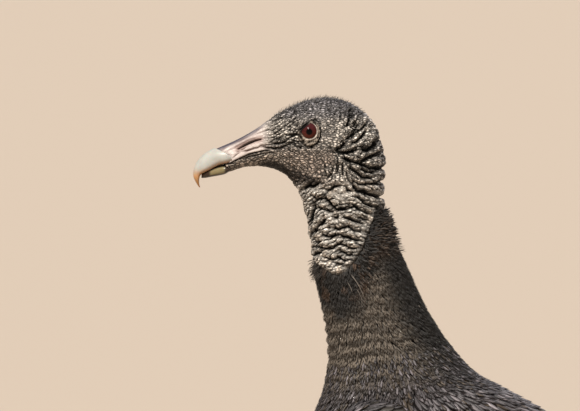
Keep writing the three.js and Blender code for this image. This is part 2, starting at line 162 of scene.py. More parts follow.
STATIONS = [
    # back x, back z, under x, under z, half width, how much wider the upper part is
    (-55.8, 471.8, -49.5, 457.4, 7, 0),  # bill's base
    (-42.9, 477.6, -38.1, 460.7, 8.9, -0.1),  # nostril
    (-30.9, 484.5, -26.7, 460.8, 11.2, -0.05),  # lores
    (-23.1, 490.5, -15.9, 456.9, 15, 0.05),  # forehead
    (-12.3, 496.8, -8.1, 448.8, 18.9, 0.12),  # brow
    (0.9, 501.7, -4.2, 439.2, 20.6, 0.16),  # eye
    (14.1, 502.5, -3, 433.2, 21.6, 0.14),  # crown
    (28.5, 496.8, -1.9, 427.8, 21.9, 0.08),  # occiput
    (39.3, 483.6, -0.7, 421.8, 21.6, 0),  # hindhead
    (44.4, 465, 0.9, 413.4, 21.2, -0.05),  # top of the nape
    (43.8, 443.4, 2.2, 403.8, 21.2, 0),  # nape
    (48.9, 423, 3.9, 391.2, 22.8, 0),  # ruff
    (59.1, 400.2, 7.2, 377.4, 25.2, 0),  # middle of the neck
    (70.5, 375.6, 10.5, 359.4, 28.6, 0),  # low neck
    (84.9, 353.4, 11.1, 342.6, 34, 0.05),  # neck's base
    (99.9, 337.2, 7.2, 323.4, 43.5, 0.04),  # shoulders
    (120.3, 326.4, -3.3, 298.8, 55, 0),  # mantle
    (144.3, 312.9, -6.9, 261, 62, -0.05),  # breast
    (175.5, 297, 17.1, 217.2, 65.5, -0.05),  # keel
    (207.3, 281.4, 68.7, 187.8, 64, -0.05),  # belly
    (235.5, 266, 138.3, 179, 53, 0),  # flank
    (262, 250, 218, 186, 38, 0),  # vent
    (282, 236, 268, 202, 22, 0),  # tail's root
]
SECTION_POWER = 0.92  # fills the ring's corners a little more than an ellipse


def spline(points, at):
    """Centripetal Catmull-Rom curve through the rows of points; at counts points in fractions."""
    points = np.asarray(points, float)
    padded = np.concatenate([2 * points[:1] - points[1:2], points, 2 * points[-1:] - points[-2:-1]])
    at = np.asarray(at, float)
    low = np.clip(np.floor(at).astype(int), 0, len(points) - 2)
    share = (at - low)[..., None]
    p0, p1, p2, p3 = (padded[low + k] for k in range(4))
    gap0, gap1, gap2 = (
        np.maximum(np.sqrt(np.linalg.norm(b - a, axis=-1, keepdims=True)), 1e-4)
        for a, b in ((p0, p1), (p1, p2), (p2, p3))
    )
    slope1 = ((p1 - p0) / gap0 - (p2 - p0) / (gap0 + gap1) + (p2 - p1) / gap1) * gap1
    slope2 = ((p2 - p1) / gap1 - (p3 - p1) / (gap1 + gap2) + (p3 - p2) / gap2) * gap1
    bend2 = -3 * p1 + 3 * p2 - 2 * slope1 - slope2
    bend3 = 2 * p1 - 2 * p2 + slope1 + slope2
    return p1 + slope1 * share + bend2 * share**2 + bend3 * share**3


def unit(vectors):
    """Each vector at length 1."""
    return vectors / np.maximum(np.linalg.norm(vectors, axis=-1, keepdims=True), 1e-9)


def dot(a, b):
    """Dot products along the last axis, which is kept."""
    return np.sum(a * b, axis=-1, keepdims=True)


def run_along(points):
    """The way run at each point of a line, from 0 at the first."""
    return np.concatenate([[0], np.cumsum(np.linalg.norm(np.diff(points, axis=0), axis=1))])


def ramp(value, low, high):
    """0 below low, 1 above high, and 3s^2 - 2s^3 between them. low may be the larger of the two."""
    share = np.clip((value - low) / (high - low), 0, 1)
    return share * share * (3 - 2 * share)


def bell(value, width, power=2):
    """A hump that is 1 where value is 0 and falls off on both sides: e ^ -(value / width) ^ power."""
    return np.exp(-((value / width) ** power))


def fuller(wave, power):
    """A sine or cosine raised to a power, with its sign kept, which fills or hollows a ring's corners."""
    return np.sign(wave) * np.abs(wave) ** power


def body_outline(at, turn):
    """Rings of the feathered body: middle + cos(turn) * half height up, sin(turn) * half width aside."""
    table = np.array(STATIONS)
    back = spline(table[:, [0, 4, 1]], at)
    under = spline(np.stack([table[:, 2], np.zeros(len(table)), table[:, 3]], 1), at)
    crown = np.interp(at, np.arange(len(table)), table[:, 5])
    half = back[..., 1]
    back = back * [1, 0, 1]
    middle = (back + under) / 2
    up = (back - under) / 2
    points = middle + up * np.cos(turn)[..., None]
    points[..., 1] = half * fuller(np.sin(turn), SECTION_POWER) * (1 + crown * np.cos(turn))
    return points


def noise(points, size, seed):
    """Smooth noise from -1 to 1: chance values on a lattice of cells of this size, blended between."""
    side = 32  # cells, after which it repeats
    values = np.random.default_rng(seed).uniform(-1, 1, (side, side, side))
    place = np.asarray(points, float) / size
    low = np.floor(place).astype(int)
    share = place - low
    share = share * share * (3 - 2 * share)
    total = np.zeros(place.shape[:-1])
    for corner in range(8):
        step = np.array([corner & 1, corner >> 1 & 1, corner >> 2 & 1])
        weight = np.prod(np.where(step, share, 1 - share), axis=-1)
        cell = (low + step) % side
        total += weight * values[cell[..., 0], cell[..., 1], cell[..., 2]]
    return total


class Sheet:
    """A surface sampled on a grid, from which points, slopes and normals are read between samples.

    u counts its rows and v its columns. A closed sheet joins its last column to the first, and an
    open one faces the way facing. bake_box is its place in the map OFBake: where it starts, and how
    far it reaches along and across.
    """

    def __init__(self, points, bake_box, closed=False, facing=None):
        self.points = points
        self.bake_box = bake_box
        self.closed = closed
        self.along = np.gradient(points, axis=0)
        if closed:
            wrapped = np.concatenate([points[:, -1:], points, points[:, :1]], axis=1)
            self.over = (wrapped[:, 2:] - wrapped[:, :-2]) / 2
        else:
            self.over = np.gradient(points, axis=1)
        square = np.cross(self.along, self.over)
        self.areas = np.linalg.norm(square, axis=-1)
        self.normals = unit(square)
        away = points - points.mean(1, keepdims=True) if closed else np.asarray(facing, float)
        self.normals = self.normals * np.sign(np.sum(self.normals * away))

    def read(self, table, u, v):
        """Values of a table of this sheet at u and v, blended from the four samples around."""
        rows, columns = table.shape[:2]
        u = np.clip(u, 0, rows - 1.001)
        v = v % columns if self.closed else np.clip(v, 0, columns - 1.001)
        i = np.floor(u).astype(int)
        j = np.floor(v).astype(int) % columns
        a = (u - i)[..., None]
        b = (v - np.floor(v))[..., None]
        k = (j + 1) % columns
        near = table[i, j] * (1 - b) + table[i, k] * b
        return near * (1 - a) + (table[i + 1, j] * (1 - b) + table[i + 1, k] * b) * a

    def place(self, u, v):
        """Points at u and v, carried straight on past the sheet's edges."""
        rows, columns = self.points.shape[:2]
        past = (u - np.clip(u, 0, rows - 1))[..., None] * self.read(self.along, u, v)
        if not self.closed:
            past = past + (v - np.clip(v, 0, columns - 1))[..., None] * self.read(self.over, u, v)
        return self.read(self.points, u, v) + past

    def bake_place(self, u, v):
        """The place of u and v in the map OFBake."""
        rows, columns = self.points.shape[:2]
        shares = np.stack([u / (rows - 1), (v % columns if self.closed else v) / columns], -1)
        return np.array(self.bake_box[:2]) + np.array(self.bake_box[2:]) * np.clip(shares, 0, 1)


# ---------- Skin of the head and bare neck ----------
# One skin covers the bird from the bill's base to the toes. It hangs over the skull and neck in loose
# folds and warts, with painted shade dark between them, and lies smooth and dark under the feathers.

BARE_END = 11.7  # the ring number at which feathers hide the skin
FINE_START = 4  # the ring number from which the rows lie a little closer, behind the bill
HEAD_SPACING = (0.85, 0.76)  # millimetres between rows before and behind it
HEAD_COLUMNS = 288
SIGHT_DROP = math.tan(CAMERA_ABOVE)  # what stands aside looks this share lower from the camera


def spaced_rows(start, end, spacing):
    """Ring numbers from start to end, about this many millimetres apart along the back."""
    fine = np.linspace(start, end, 600)
    run = run_along(spline(np.array(STATIONS)[:, [0, 1]], fine))
    return np.interp(np.linspace(0, run[-1], int(run[-1] / spacing) + 1), run, fine)


def even_turns(count):
    """Turns that cut a typical ring of the head into equal lengths, alike on the left and right."""
    fine = np.linspace(0, math.pi, 400)
    half_high, half_wide = 37.0, 21.5
    run = run_along(np.stack([half_high * np.cos(fine), half_wide * np.sin(fine) ** SECTION_POWER], 1))
    half = np.interp(np.linspace(0, run[-1], count // 2 + 1), run, fine)
    return np.concatenate([half, 2 * math.pi - half[1:-1][::-1]])


def seen_height(points):
    """Heights as the camera sees them from a little above: z - share * the way aside."""
    return points[..., 2] - SIGHT_DROP * np.abs(points[..., 1])


HEAD_BAKE_BOX = (0.01, 0.01, 0.30, 0.98)
bill_rows = spaced_rows(0, FINE_START, HEAD_SPACING[0])
head_rows = np.concatenate([bill_rows[:-1], spaced_rows(FINE_START, BARE_END, HEAD_SPACING[1])])
outline = body_outline(*np.meshgrid(head_rows, even_turns(HEAD_COLUMNS), indexing="ij"))
head_sheet = Sheet(outline, HEAD_BAKE_BOX, closed=True)
outward = head_sheet.normals
side_x = outline[..., 0]
side_z = seen_height(outline)
facing_side = np.abs(outward[..., 1])


def line_distance(x, z, line):
    """Distance in side view to a line of joined points, and the share of the line passed there."""
    best = np.full(np.shape(x), 1e9)
    along = np.zeros(np.shape(x))
    line = np.asarray(line, float)
    for number, (a, b) in enumerate(zip(line[:-1], line[1:])):
        way = b - a
        share = np.clip(((x - a[0]) * way[0] + (z - a[1]) * way[1]) / (way @ way), 0, 1)
        away = np.hypot(x - a[0] - share * way[0], z - a[1] - share * way[1])
        along = np.where(away < best, (number + share) / (len(line) - 1), along)
        best = np.minimum(best, away)
    return best, along


# Where the bare skin ends, seen from the side: feathers begin below this line and behind it.
FEATHER_LINE = np.array([
    (-20, 404), (2.1, 405.6), (6.3, 402.6), (12.3, 399.6), (16.5, 398.4), (20.5, 400.6),
    (27.5, 406.9), (31.2, 412.5), (33.6, 418.2), (36.8, 427.2), (39.6, 434.5), (42, 437.5),
    (60, 439),
])


def below_feather_line(x, z):
    """How far below the line a point lies, in millimetres; negative on the bare skin."""
    return np.interp(x, FEATHER_LINE[:, 0], FEATHER_LINE[:, 1]) - z


# How long and wide the skin's cells are, which way the folds run and how deep the creases between
# them are, in each region of the head. Behind the ear they fan out, and on the neck they lie across.
EAR = (14.6, 470.6)
EYE = (-0.2, 481.8)
# The folds' turn in degrees, by the share of the neck's width from its front to its rear.
FOLD_TURNS = ([0, 0.2, 0.5, 0.75, 1], [52, 36, -4, -20, -16])

on_side = ramp(facing_side, 0.15, 0.4)
feathered = ramp(below_feather_line(side_x, side_z), -1.0, 4.0)
ear_x = side_x - EAR[0]
ear_z = side_z - EAR[1]
ear_away = np.hypot(ear_x, ear_z)
ear_turn = np.arctan2(ear_z, ear_x)
neck_front = np.interp(side_z, [391.2, 413.4, 439.2, 452.0], [3.9, 0.9, -4.2, -9.0])
neck_rear = np.interp(side_z, [391.2, 423.0, 443.4, 465.0, 483.6], [58.0, 48.9, 43.8, 44.4, 39.3])
neck_share = np.clip((side_x - neck_front) / (neck_rear - neck_front), 0, 1)

on_neck = ramp(side_z, 459.0, 447.0)
behind_ear = ramp(ear_x, -1.5, 3.0) * (1 - on_neck) * ramp(side_z, 499.0, 488.0)
below_ear = ramp(side_z, 464.0, 458.0) * ramp(ear_x, -9.0, -2.0) * (1 - on_neck)
fan = np.clip(behind_ear + below_ear, 0, 1)
before_eye = ramp(side_x, -5.0, -9.0) * ramp(side_x, -31.0, -26.0)
before_eye = before_eye * ramp(side_z, 473.0, 476.0)
GAPE_LINE = np.array([
    (-51.8, 462.2), (-47.6, 462.7), (-44.2, 464.5), (-39.6, 466.8), (-36.1, 468.5), (-30.8, 469.6),
    (-27.3, 470.5), (-23, 470.4),
])
gape_height = np.interp(side_x, GAPE_LINE[:, 0], GAPE_LINE[:, 1])
jaw = ramp(side_x, -12.0, -20.0) * ramp(side_z, gape_height + 1.0, gape_height - 0.8)
cere = ramp(side_x, -20.0, -30.5) * (1 - jaw)
plain = np.clip(1 - fan - on_neck - before_eye - jaw, 0, 1)
REGIONS = (fan, on_neck, before_eye, jaw, plain)


def region_blend(*values):
    """One value over the head, blended from a value for each region."""
    return sum(weight * value for weight, value in zip(REGIONS, values)) / sum(REGIONS)


neck_turn = np.radians(np.interp(neck_share, *FOLD_TURNS))
cheek_turn = np.radians(np.interp(side_z, [468, 482], [-32, 8]))
fold_turns = (ear_turn, neck_turn, math.radians(28), math.radians(20), cheek_turn)
fold_turn = np.arctan2(
    region_blend(*(np.sin(2 * turn) for turn in fold_turns)),
    region_blend(*(np.cos(2 * turn) for turn in fold_turns)),
) / 2
fan_growth = np.clip((ear_away - 2.0) / 20.0, 0, 1)
front_neck = ramp(neck_share, 0.3, 0.1)
cell_long = region_blend(7.5 + 6.5 * fan_growth, 12.0 - 7.5 * front_neck, 5.6, 6.5, 4.0)
cell_wide = region_blend(1.8 + 1.3 * fan_growth, 3.3, 2.3, 1.4, 1.5)
crease_depth = region_blend(1.5 + 1.3 * fan_growth, 2.5, 2.1, 0.8, 1.0)

# On the sides and round the nape the great folds are drawn one by one, and the cells are only small
# wrinkles on them.
on_folds = np.maximum(on_side, ramp(side_x, 26.0, 32.0))
drawn = on_folds * np.clip(fan + on_neck, 0, 1)
cell_long = cell_long + (5.6 - cell_long) * drawn
cell_wide = cell_wide + (2.5 - cell_wide) * drawn
crease_depth = crease_depth + (1.7 - crease_depth) * drawn
crease_depth = crease_depth * (1 - 0.96 * cere) * (1 - 0.8 * feathered)


def fold_ways(normals):
    """The folds' way on the skin: square to the normal and to an axis a quarter turn from the folds."""
    axis = np.stack([-np.sin(fold_turn), np.zeros_like(fold_turn), np.cos(fold_turn)], -1)
    return unit(np.cross(axis, normals))


POINTS_AT_ONCE = 6000  # which keeps the tables of distances small


def cell_distances(points, ways, longs, wides, seeds):
    """Distances to the two nearest seeds, counted in lengths of a cell, and which seeds they are.

    distance^2 = (offset along the fold / length)^2 + (rest of the offset)^2 / width^2
    """
    nearest = np.empty((len(points), 2))
    owners = np.empty((len(points), 2), int)
    seeds = seeds.astype(np.float32)
    for start in range(0, len(points), POINTS_AT_ONCE):
        part = slice(start, start + POINTS_AT_ONCE)
        p = points[part].astype(np.float32)
        w = ways[part].astype(np.float32)
        whole = (p**2).sum(1)[:, None] + (seeds**2).sum(1)[None] - 2 * p @ seeds.T
        along = (w @ seeds.T - (w * p).sum(1)[:, None]) ** 2
        far = along / longs[part, None] ** 2 + np.maximum(whole - along, 0) / wides[part, None] ** 2
        two = np.argpartition(far, 2, axis=1)[:, :2]
        values = np.take_along_axis(far, two, 1)
        order = np.argsort(values, axis=1)
        nearest[part] = np.sqrt(np.take_along_axis(values, order, 1))
        owners[part] = np.take_along_axis(two, order, 1)
    return nearest, owners


rng = np.random.default_rng(7)
ways = fold_ways(outward).reshape(-1, 3)
areas = head_sheet.areas.ravel()
longs = cell_long.ravel()
wides = cell_wide.ravel()
wobble = [
    noise(outline, 6.5, 31 + k) + 0.35 * noise(outline, 2.4, 41 + k) for k in range(3)
]
wobbled = (outline + np.stack(wobble, -1) * cell_wide[..., None] * 0.6).reshape(-1, 3)
CELL_PACKING = 1.1  # seeds for each cell's area
chance = areas / (longs * wides)
many = int(chance.sum() * CELL_PACKING)
seeds = wobbled[rng.choice(len(areas), many, replace=False, p=chance / chance.sum())]
some = slice(None, None, 3)  # every third point is enough for this
for _ in range(2):  # each seed moves to the middle of its cell, which evens the cells out
    owner = cell_distances(wobbled[some], ways[some], longs[some], wides[some], seeds)[1][:, 0]
    weight = np.bincount(owner, areas[some], len(seeds))
    sums = [np.bincount(owner, areas[some] * wobbled[some, k], len(seeds)) for k in range(3)]
    middles = np.stack(sums, 1) / np.maximum(weight, 1e-9)[:, None]
    seeds = np.where(weight[:, None] > 0, middles, seeds)
nearest, owners = cell_distances(wobbled, ways, longs, wides, seeds)

# Some borders between cells are only dents, most of all where cells of one fold meet end to end, so
# that the cells run together in long uneven folds.
low_owner = owners.min(1)
high_owner = owners.max(1)
pair_chance = np.modf(np.abs(np.sin(low_owner * 12.9898 + high_owner * 78.233) * 43758.5453))[0]
end_to_end = np.abs(dot(unit(seeds[owners[:, 0]] - seeds[owners[:, 1]]), ways))[:, 0]
border = (0.35 + 0.65 * ramp(pair_chance, 0.05, 0.4)) * (1 - 0.55 * ramp(end_to_end, 0.6, 0.95))
border = border.reshape(side_x.shape)
edge_gap = (nearest[:, 1] - nearest[:, 0]).reshape(side_x.shape)
cell_tone = rng.uniform(0, 1, len(seeds))[owners[:, 0]].reshape(side_x.shape)
crease = border * bell(edge_gap, 0.3, 1.5)  # 1 in a crease and 0 on a fold's back
over_fold = np.cross(outward.reshape(-1, 3), ways)
over_fold = over_fold * -np.sign(over_fold[:, 2:])  # down across the fold
overhang = dot(wobbled - seeds[owners[:, 0]], over_fold)[:, 0] / wides
overhang = np.clip(overhang, -0.8, 0.8).reshape(side_x.shape)  # folds stand out at their lower edge
ripples = 0.6 * noise(outline, 2.3, 11) + 0.4 * noise(outline, 1.2, 12)
rolls = noise(outline * [1, 1, 1.6], 9.0, 13)

# The gape, the nostril, the ear and the great creases are cut into the skin, as seen from the side.
NOSTRIL_LINE = [(-42.9, 471.8), (-39.8, 473.8), (-36.4, 475.6), (-33.0, 476.9), (-29.7, 477.5)]
FACE_CREASES = [
    # half width of the crease, and the points it passes
    (0.6, [(-31.1, 472.1), (-28.1, 472.8), (-25.7, 471.9), (-21.4, 471.6), (-17.7, 471.9), (-15, 473.5),
           (-11.8, 474.3), (-10.3, 475.3)]),  # over the gape's corner
    (0.55, [(-23.9, 475.1), (-20.4, 474.4), (-17.2, 474.8), (-14.2, 476.4), (-12.7, 478)]),
    (0.6, [(-13.2, 478.8), (-9.7, 480.2), (-7.6, 481.2), (-5.6, 482.4)]),  # before the eye
    (0.55, [(0.4, 488.2), (2.2, 489.5), (4, 489.5), (5.4, 488.3)]),
    (0.4, [(-23.9, 477.9), (-21.4, 478.3), (-19.8, 479.9)]),
    (0.4, [(-21.2, 483.4), (-18.8, 483.9), (-18, 485.2)]),
    (0.4, [(-14.8, 481.8), (-12.3, 483.6), (-11.3, 486.3)]),
    (0.35, [(-9.1, 483.1), (-8.6, 484.7), (-7, 487.9)]),
    (0.45, [(-9.4, 475.6), (-8.9, 473.2), (-5.9, 471.9), (-4.3, 472.9)]),
    (0.35, [(-15.3, 472.4), (-11.8, 470), (-8.6, 468.9)]),
    (0.35, [(-40.9, 465), (-36, 466.6), (-30, 468.2), (-24.5, 469), (-19, 468.6)]),
    (0.3, [(-44.9, 472.6), (-42.4, 474.6), (-38.8, 476.4), (-35.3, 477.6), (-31.5, 478.7)]),  # nostril's rim
    (0.3, [(-41.8, 470.4), (-39.4, 471.6), (-38, 472.8)]),
    (0.45, [(-41, 469.6), (-37, 470.7), (-33.1, 472), (-29, 473.4), (-25.7, 473.9), (-20.3, 473.6)]),
    (0.3, [(-52.6, 467.6), (-49, 468.2), (-46.4, 467.2)]),
    (0.3, [(-33.6, 480.2), (-29, 481.6), (-25, 483.4), (-22.4, 485.6)]),
    (0.3, [(-45.9, 465.4), (-44.6, 467.6), (-42.6, 469.2), (-44.4, 470.6)]),
    (0.3, [(-51.8, 470.3), (-48.7, 469.2)]),
]
FOLD_CREASES = [
    # behind and over the ear
    (0.7, [(25.3, 500), (25, 492.8), (23.6, 486.9), (22.1, 484.2)]),
    (0.5, [(28.4, 488.2), (27.3, 485.5), (24.6, 484.2)]),
    (0.6, [(30.5, 489), (28.9, 484.7), (26.3, 481), (23.8, 478), (20.9, 476.9)]),
    (0.6, [(34.6, 488.2), (32.4, 484.2), (28.4, 481.8), (26, 479.9)]),
    (0.6, [(35.9, 484.2), (33.2, 481.2), (31.6, 478.8), (27.9, 475.9), (24.9, 475.3)]),
    (0.7, [(20.4, 476.4), (20.4, 473.7), (18.2, 471.9), (16, 471.2)]),
    (0.9, [(15.6, 470.6), (19.8, 469.4), (22.5, 469.3), (26.3, 470.5), (27.6, 471.6)]),
    (1, [(40.7, 476.9), (38.3, 473.2), (34.3, 470.5), (31.1, 472.4)]),
    (0.8, [(42.1, 469.4), (39.6, 467.8), (36.4, 467), (33.2, 464.9), (29.7, 464.1)]),
    (0.8, [(18, 468), (20.4, 465.6), (23.3, 464.3), (26.8, 463.8), (33.2, 461.6), (37, 460.3),
           (42.3, 460.2), (50, 460)]),
    (0.6, [(23, 461.6), (25.7, 458.9), (28.9, 457.6), (31.6, 454.9), (35.6, 454.4), (39, 454.4)]),
    (0.7, [(31.1, 459.8), (34.3, 458.1), (37.8, 457.3), (41, 458.1)]),
    (0.6, [(26.8, 452), (29.5, 450.4), (33, 450.6), (36.4, 450.6), (39.6, 450.6), (42, 452),
           (50, 452.3)]),
    (0.9, [(26, 451.4), (26.8, 448.2), (29.7, 446.4), (33.5, 445.3), (37, 444.2), (41, 443),
           (50, 442.4)]),
    (0.7, [(27.3, 443.4), (30.5, 441.3), (33.8, 439.1), (37, 437.5), (40.2, 436.4)]),
    (0.45, [(19.8, 462.6), (20, 457.6), (19.8, 454.7)]),
    (0.45, [(17.7, 462.4), (16.9, 458.9), (16.6, 455.3)]),
    (0.5, [(22, 459.1), (22.5, 454.9), (23.6, 452.3), (26, 450.1)]),
    (0.5, [(22, 448.9), (22.5, 446.4), (25.5, 445.8)]),
    (0.45, [(14.6, 461), (13.4, 456.6), (10.4, 453.4)]),
    # across the neck, from the jaw down to the feathers
    (0.7, [(-4, 447), (-0.5, 449.4), (2.5, 448.6), (5.6, 451.6)]),
    (0.55, [(9.1, 446.6), (12.9, 446.8), (14.4, 448.8), (18.2, 450)]),
    (0.7, [(7.5, 442.3), (9.4, 441.8), (11.8, 438.9), (14.2, 436.7), (16.3, 435.4), (20.4, 435.1),
           (23, 436)]),
    (0.6, [(1.4, 443.4), (4, 440.6), (7.5, 442.3)]),
    (0.55, [(3.4, 436.4), (7.5, 435.4), (9.9, 434.5), (12.5, 433.7), (14.7, 434.7)]),
    (0.6, [(23, 436), (27.3, 437.5), (31.1, 434.8), (34.3, 433.8), (37.5, 433)]),
    (0.8, [(2.1, 440), (2.6, 434.8), (1.3, 432.6), (0.7, 428.9), (0.2, 425.9)]),
    (0.5, [(13.6, 430.8), (15.7, 429.7), (17.6, 431.3)]),
    (0.7, [(19.5, 431.8), (21.9, 430.2), (24.8, 429.2), (27.5, 428.1), (30.5, 427.6), (34.9, 426.1)]),
    (0.6, [(27.8, 430.8), (31.3, 430.2), (35.5, 429)]),
    (0.6, [(11.7, 424.3), (15.5, 424.1), (17.9, 423), (19.7, 424.6), (22.7, 425.1), (26.4, 423),
           (33.9, 421.4)]),
    (0.7, [(1.5, 421.1), (3.7, 423.5), (5.8, 425.9), (8.5, 428.1), (8.5, 430)]),
    (0.6, [(5.8, 421.3), (7.7, 420.3), (10.4, 419), (13.1, 419), (16.5, 419.8), (17.3, 421.9)]),
    (0.7, [(17.5, 420.5), (20.5, 419), (23.8, 418.2), (27, 417.4), (31.8, 416.6)]),
    (0.5, [(1.6, 418.4), (4.5, 415), (6.9, 416.2)]),
    (0.6, [(0, 412.9), (4.5, 412.8), (7.2, 412.3), (10.9, 411.6), (14.1, 412.6), (16.5, 414.4),
           (19.7, 414.2), (23.2, 412.8), (26.4, 412), (30.5, 413.1)]),
    (0.6, [(0.8, 408.3), (5, 409.1), (7.7, 411.2)]),
    (0.6, [(16.8, 411.2), (19.5, 409.9), (22.7, 408.3), (26.4, 408.3)]),
    (0.5, [(7.7, 407.4), (10.4, 405.9), (12.5, 405.3), (15.2, 405.6), (16.3, 406.7), (19.7, 404.8),
           (23.2, 404.2)]),
    (0.45, [(13.1, 404), (16.3, 403.2), (18.4, 402.4), (21.1, 401)]),
]
EAR_SLIT = [(12.6, 473.2), (12.4, 470.8), (14.0, 469.2), (16.4, 470.2)]
HORN_BORDER = np.array([
    (-58.2, 472.2), (-54.6, 471.3), (-49.8, 469), (-47, 466.2), (-47.4, 463.8), (-48.6, 462.6),
])
LOWER_HORN_END = -49.8
LOWER_HORN_TOP = 462.4

STRAY = 0.45  # how far the drawn creases stray, in millimetres, which makes them uneven
strayed_x = side_x + STRAY * noise(outline, 2.6, 55)
strayed_z = side_z + STRAY * noise(outline, 2.6, 56)


def creased(lines):
    """How deep the creases cut, 0 to 1, fading at their ends, and the distance to the nearest one."""
    cut = np.zeros(side_x.shape)
    nearest = np.full(side_x.shape, 9.0)
    for half_width, line in lines:
        away, along = line_distance(strayed_x, strayed_z, line)
        ends = np.clip(np.minimum(along, 1 - along) * 6, 0.3, 1)
        deep = min(half_width / 0.55, 1.3)
        cut = np.maximum(cut, bell(away, 1.15 * half_width) * ends * deep)
        nearest = np.minimum(nearest, away + (1 - ends))
    return cut, nearest


gape_away, gape_along = line_distance(side_x, side_z, GAPE_LINE)
gape_cut = bell(gape_away, 0.5) * ramp(gape_along, 1.02, 0.9)
nostril_away, nostril_along = line_distance(side_x, side_z, NOSTRIL_LINE)
nostril_width = 0.35 + 0.5 * np.sin(math.pi * np.clip(nostril_along, 0.05, 0.95))
nostril_cut = bell(nostril_away, nostril_width, 4)
nostril_pit = bell(nostril_away, 2.4)
face_cut = creased(FACE_CREASES)[0]
fold_cut, fold_away = creased(FOLD_CREASES)
fold_cut = fold_cut * (1 - feathered)
fold_back = drawn * (1 - bell(fold_away, 2.0))  # the folds swell between their creases
ear_cut = bell(line_distance(side_x, side_z, EAR_SLIT)[0], 1.0) * (0.6 + 0.4 * ripples)
beak_line = np.interp(side_z, HORN_BORDER[::-1, 1], HORN_BORDER[::-1, 0])
under_upper = ramp(side_x, beak_line - 0.2, beak_line - 0.8)
under_lower = ramp(side_x, LOWER_HORN_END + 0.2, LOWER_HORN_END - 0.4)
under_horn = np.where(side_z > LOWER_HORN_TOP, under_upper, under_lower)

lumps = 0.3 * overhang + (0.22 - 0.12 * on_neck) * ripples + (0.12 + 0.2 * on_neck) * rolls
lumps = lumps + 0.3 * (cell_tone - 0.5) - 0.1
depth = crease_depth * (crease - lumps)
depth = depth + on_side * (1.5 * gape_cut + 2.4 * nostril_cut + 0.4 * nostril_pit + 1.8 * ear_cut)
depth = depth + 1.4 * on_side * face_cut + on_folds * (2.3 * fold_cut - 1.5 * fold_back)
depth = depth + 3.2 * feathered + 1.1 * under_horn


# ---------- Eyelids ----------
# Thick wrinkled lids close round the eyeball, cut off by the straight brow fold in front. A deep
# crease parts them from the cheek, so they are a ring of their own within the skin.

EYEBALL_RADIUS = 7.5
EYEBALL_ASIDE = 13.9
EYE_RAISED = SIGHT_DROP * 21.0  # sets the eye level with the lines above, as the camera sees it
BROW_TURN = math.radians(131)  # the brow fold crosses the eye on this side of it
BROW_SHADE_AWAY = 3.6
BROW_AWAY = 4.4
# By the turn in degrees from behind the eye: how far the lids' edge and the crease round them lie
# from its middle, that crease's width, its depth and painted shade, and how clearly the lids' wet rim
# is parted off.
OPENING = {
    0: 4.6, 45: 5.0, 75: 5.4, 110: 5.3, 150: 4.7, 172: 4.7, 182: 4.9, 194: 4.7, 215: 4.6, 270: 4.5, 360: 4.6,
}
LID_REACH = {0: 6.8, 45: 6.7, 75: 6.7, 90: 6.4, 150: 6.6, 180: 7.0, 225: 8.0, 270: 8.8, 315: 7.6, 360: 6.8}
LID_CREASE_WIDTH = {0: 0.08, 95: 0.1, 112: 0.2, 165: 0.22, 185: 0.1, 360: 0.08}
LID_CREASE = {
    0: 0.95, 40: 0.7, 90: 0.9, 110: 1.0, 170: 1.0, 190: 0.6, 210: 0.2, 250: 0.35, 275: 0.9, 300: 1.0,
    360: 0.9,
}
LID_RIM = {0: 0.7, 60: 1.0, 95: 0.7, 120: 0.0, 220: 0.0, 250: 0.3, 300: 0.6, 360: 0.7}
LID_PITS = [(-7.0, 475.6), (-5.4, 472.1), (-2.5, 474.2), (-9.4, 476.4), (1.0, 472.4)]


def by_turn(table, turn):
    """Reads a table that is given by degrees at turns in radians."""
    return np.interp(np.degrees(turn) % 360, list(table), list(table.values()))


def past_brow(turn):
    """How far a turn lies past the brow fold's, from -pi to pi."""
    return (turn - BROW_TURN + math.pi) % (2 * math.pi) - math.pi


def brow_cut(turn, away):
    """Distance to a straight line that passes the eye's middle at this distance on the brow's side."""
    return away / np.maximum(np.cos(turn - BROW_TURN), 0.2)


def eye_opening(turn):
    """The lids' edge: nearly a circle, pointed in front and cut straight by the brow's shade."""
    return np.minimum(by_turn(OPENING, turn), brow_cut(turn, BROW_SHADE_AWAY))


def lid_reach(turn):
    """The crease round the lids, and the brow's straight edge."""
    return np.minimum(by_turn(LID_REACH, turn), brow_cut(turn, BROW_AWAY))


def pitted(x, z):
    """1 in the small dark pits between the lower lid's lumps, and 0 away from them."""
    return sum(bell(np.hypot(x - pit_x, z - pit_z), 0.75) for pit_x, pit_z in LID_PITS)


eye_x = side_x - EYE[0]
eye_z = side_z - EYE[1]
eye_away = np.hypot(eye_x, eye_z)
eye_turn = np.arctan2(eye_z, eye_x)
lid_share = eye_away / lid_reach(eye_turn)
brow_fold = bell(past_brow(eye_turn), 0.75) * bell(eye_away - 6.0, 1.7)
crease_width = by_turn(LID_CREASE_WIDTH, eye_turn)
lid_crease = bell(lid_share - 1.0, crease_width) * by_turn(LID_CREASE, eye_turn)
skin_pits = pitted(side_x, side_z) * on_side
depth = depth + on_side * (5.0 * ramp(lid_share, 0.98, 0.84) + 1.2 * lid_crease - 2.5 * brow_fold)
depth = depth + 1.2 * skin_pits
OVER_BALL = 0.7  # the skin's least way over the eyeball
over_ball = EYEBALL_ASIDE + np.sqrt(np.clip(EYEBALL_RADIUS**2 - eye_away**2, 0, None)) + OVER_BALL
deepest = (np.abs(outline[..., 1]) - over_ball) / np.maximum(facing_side, 0.3)
round_eye = (eye_away < EYEBALL_RADIUS) & (lid_share > 0.97)
depth = np.where(round_eye, np.minimum(depth, deepest), depth)  # the brow stands out over the eyeball
head_grid = outline - outward * depth[..., None]


def place_terms(x, z):
    """The terms of a quadratic of the place from the eye."""
    return np.stack([np.ones_like(x), x, z, x * x, x * z, z * z], -1)


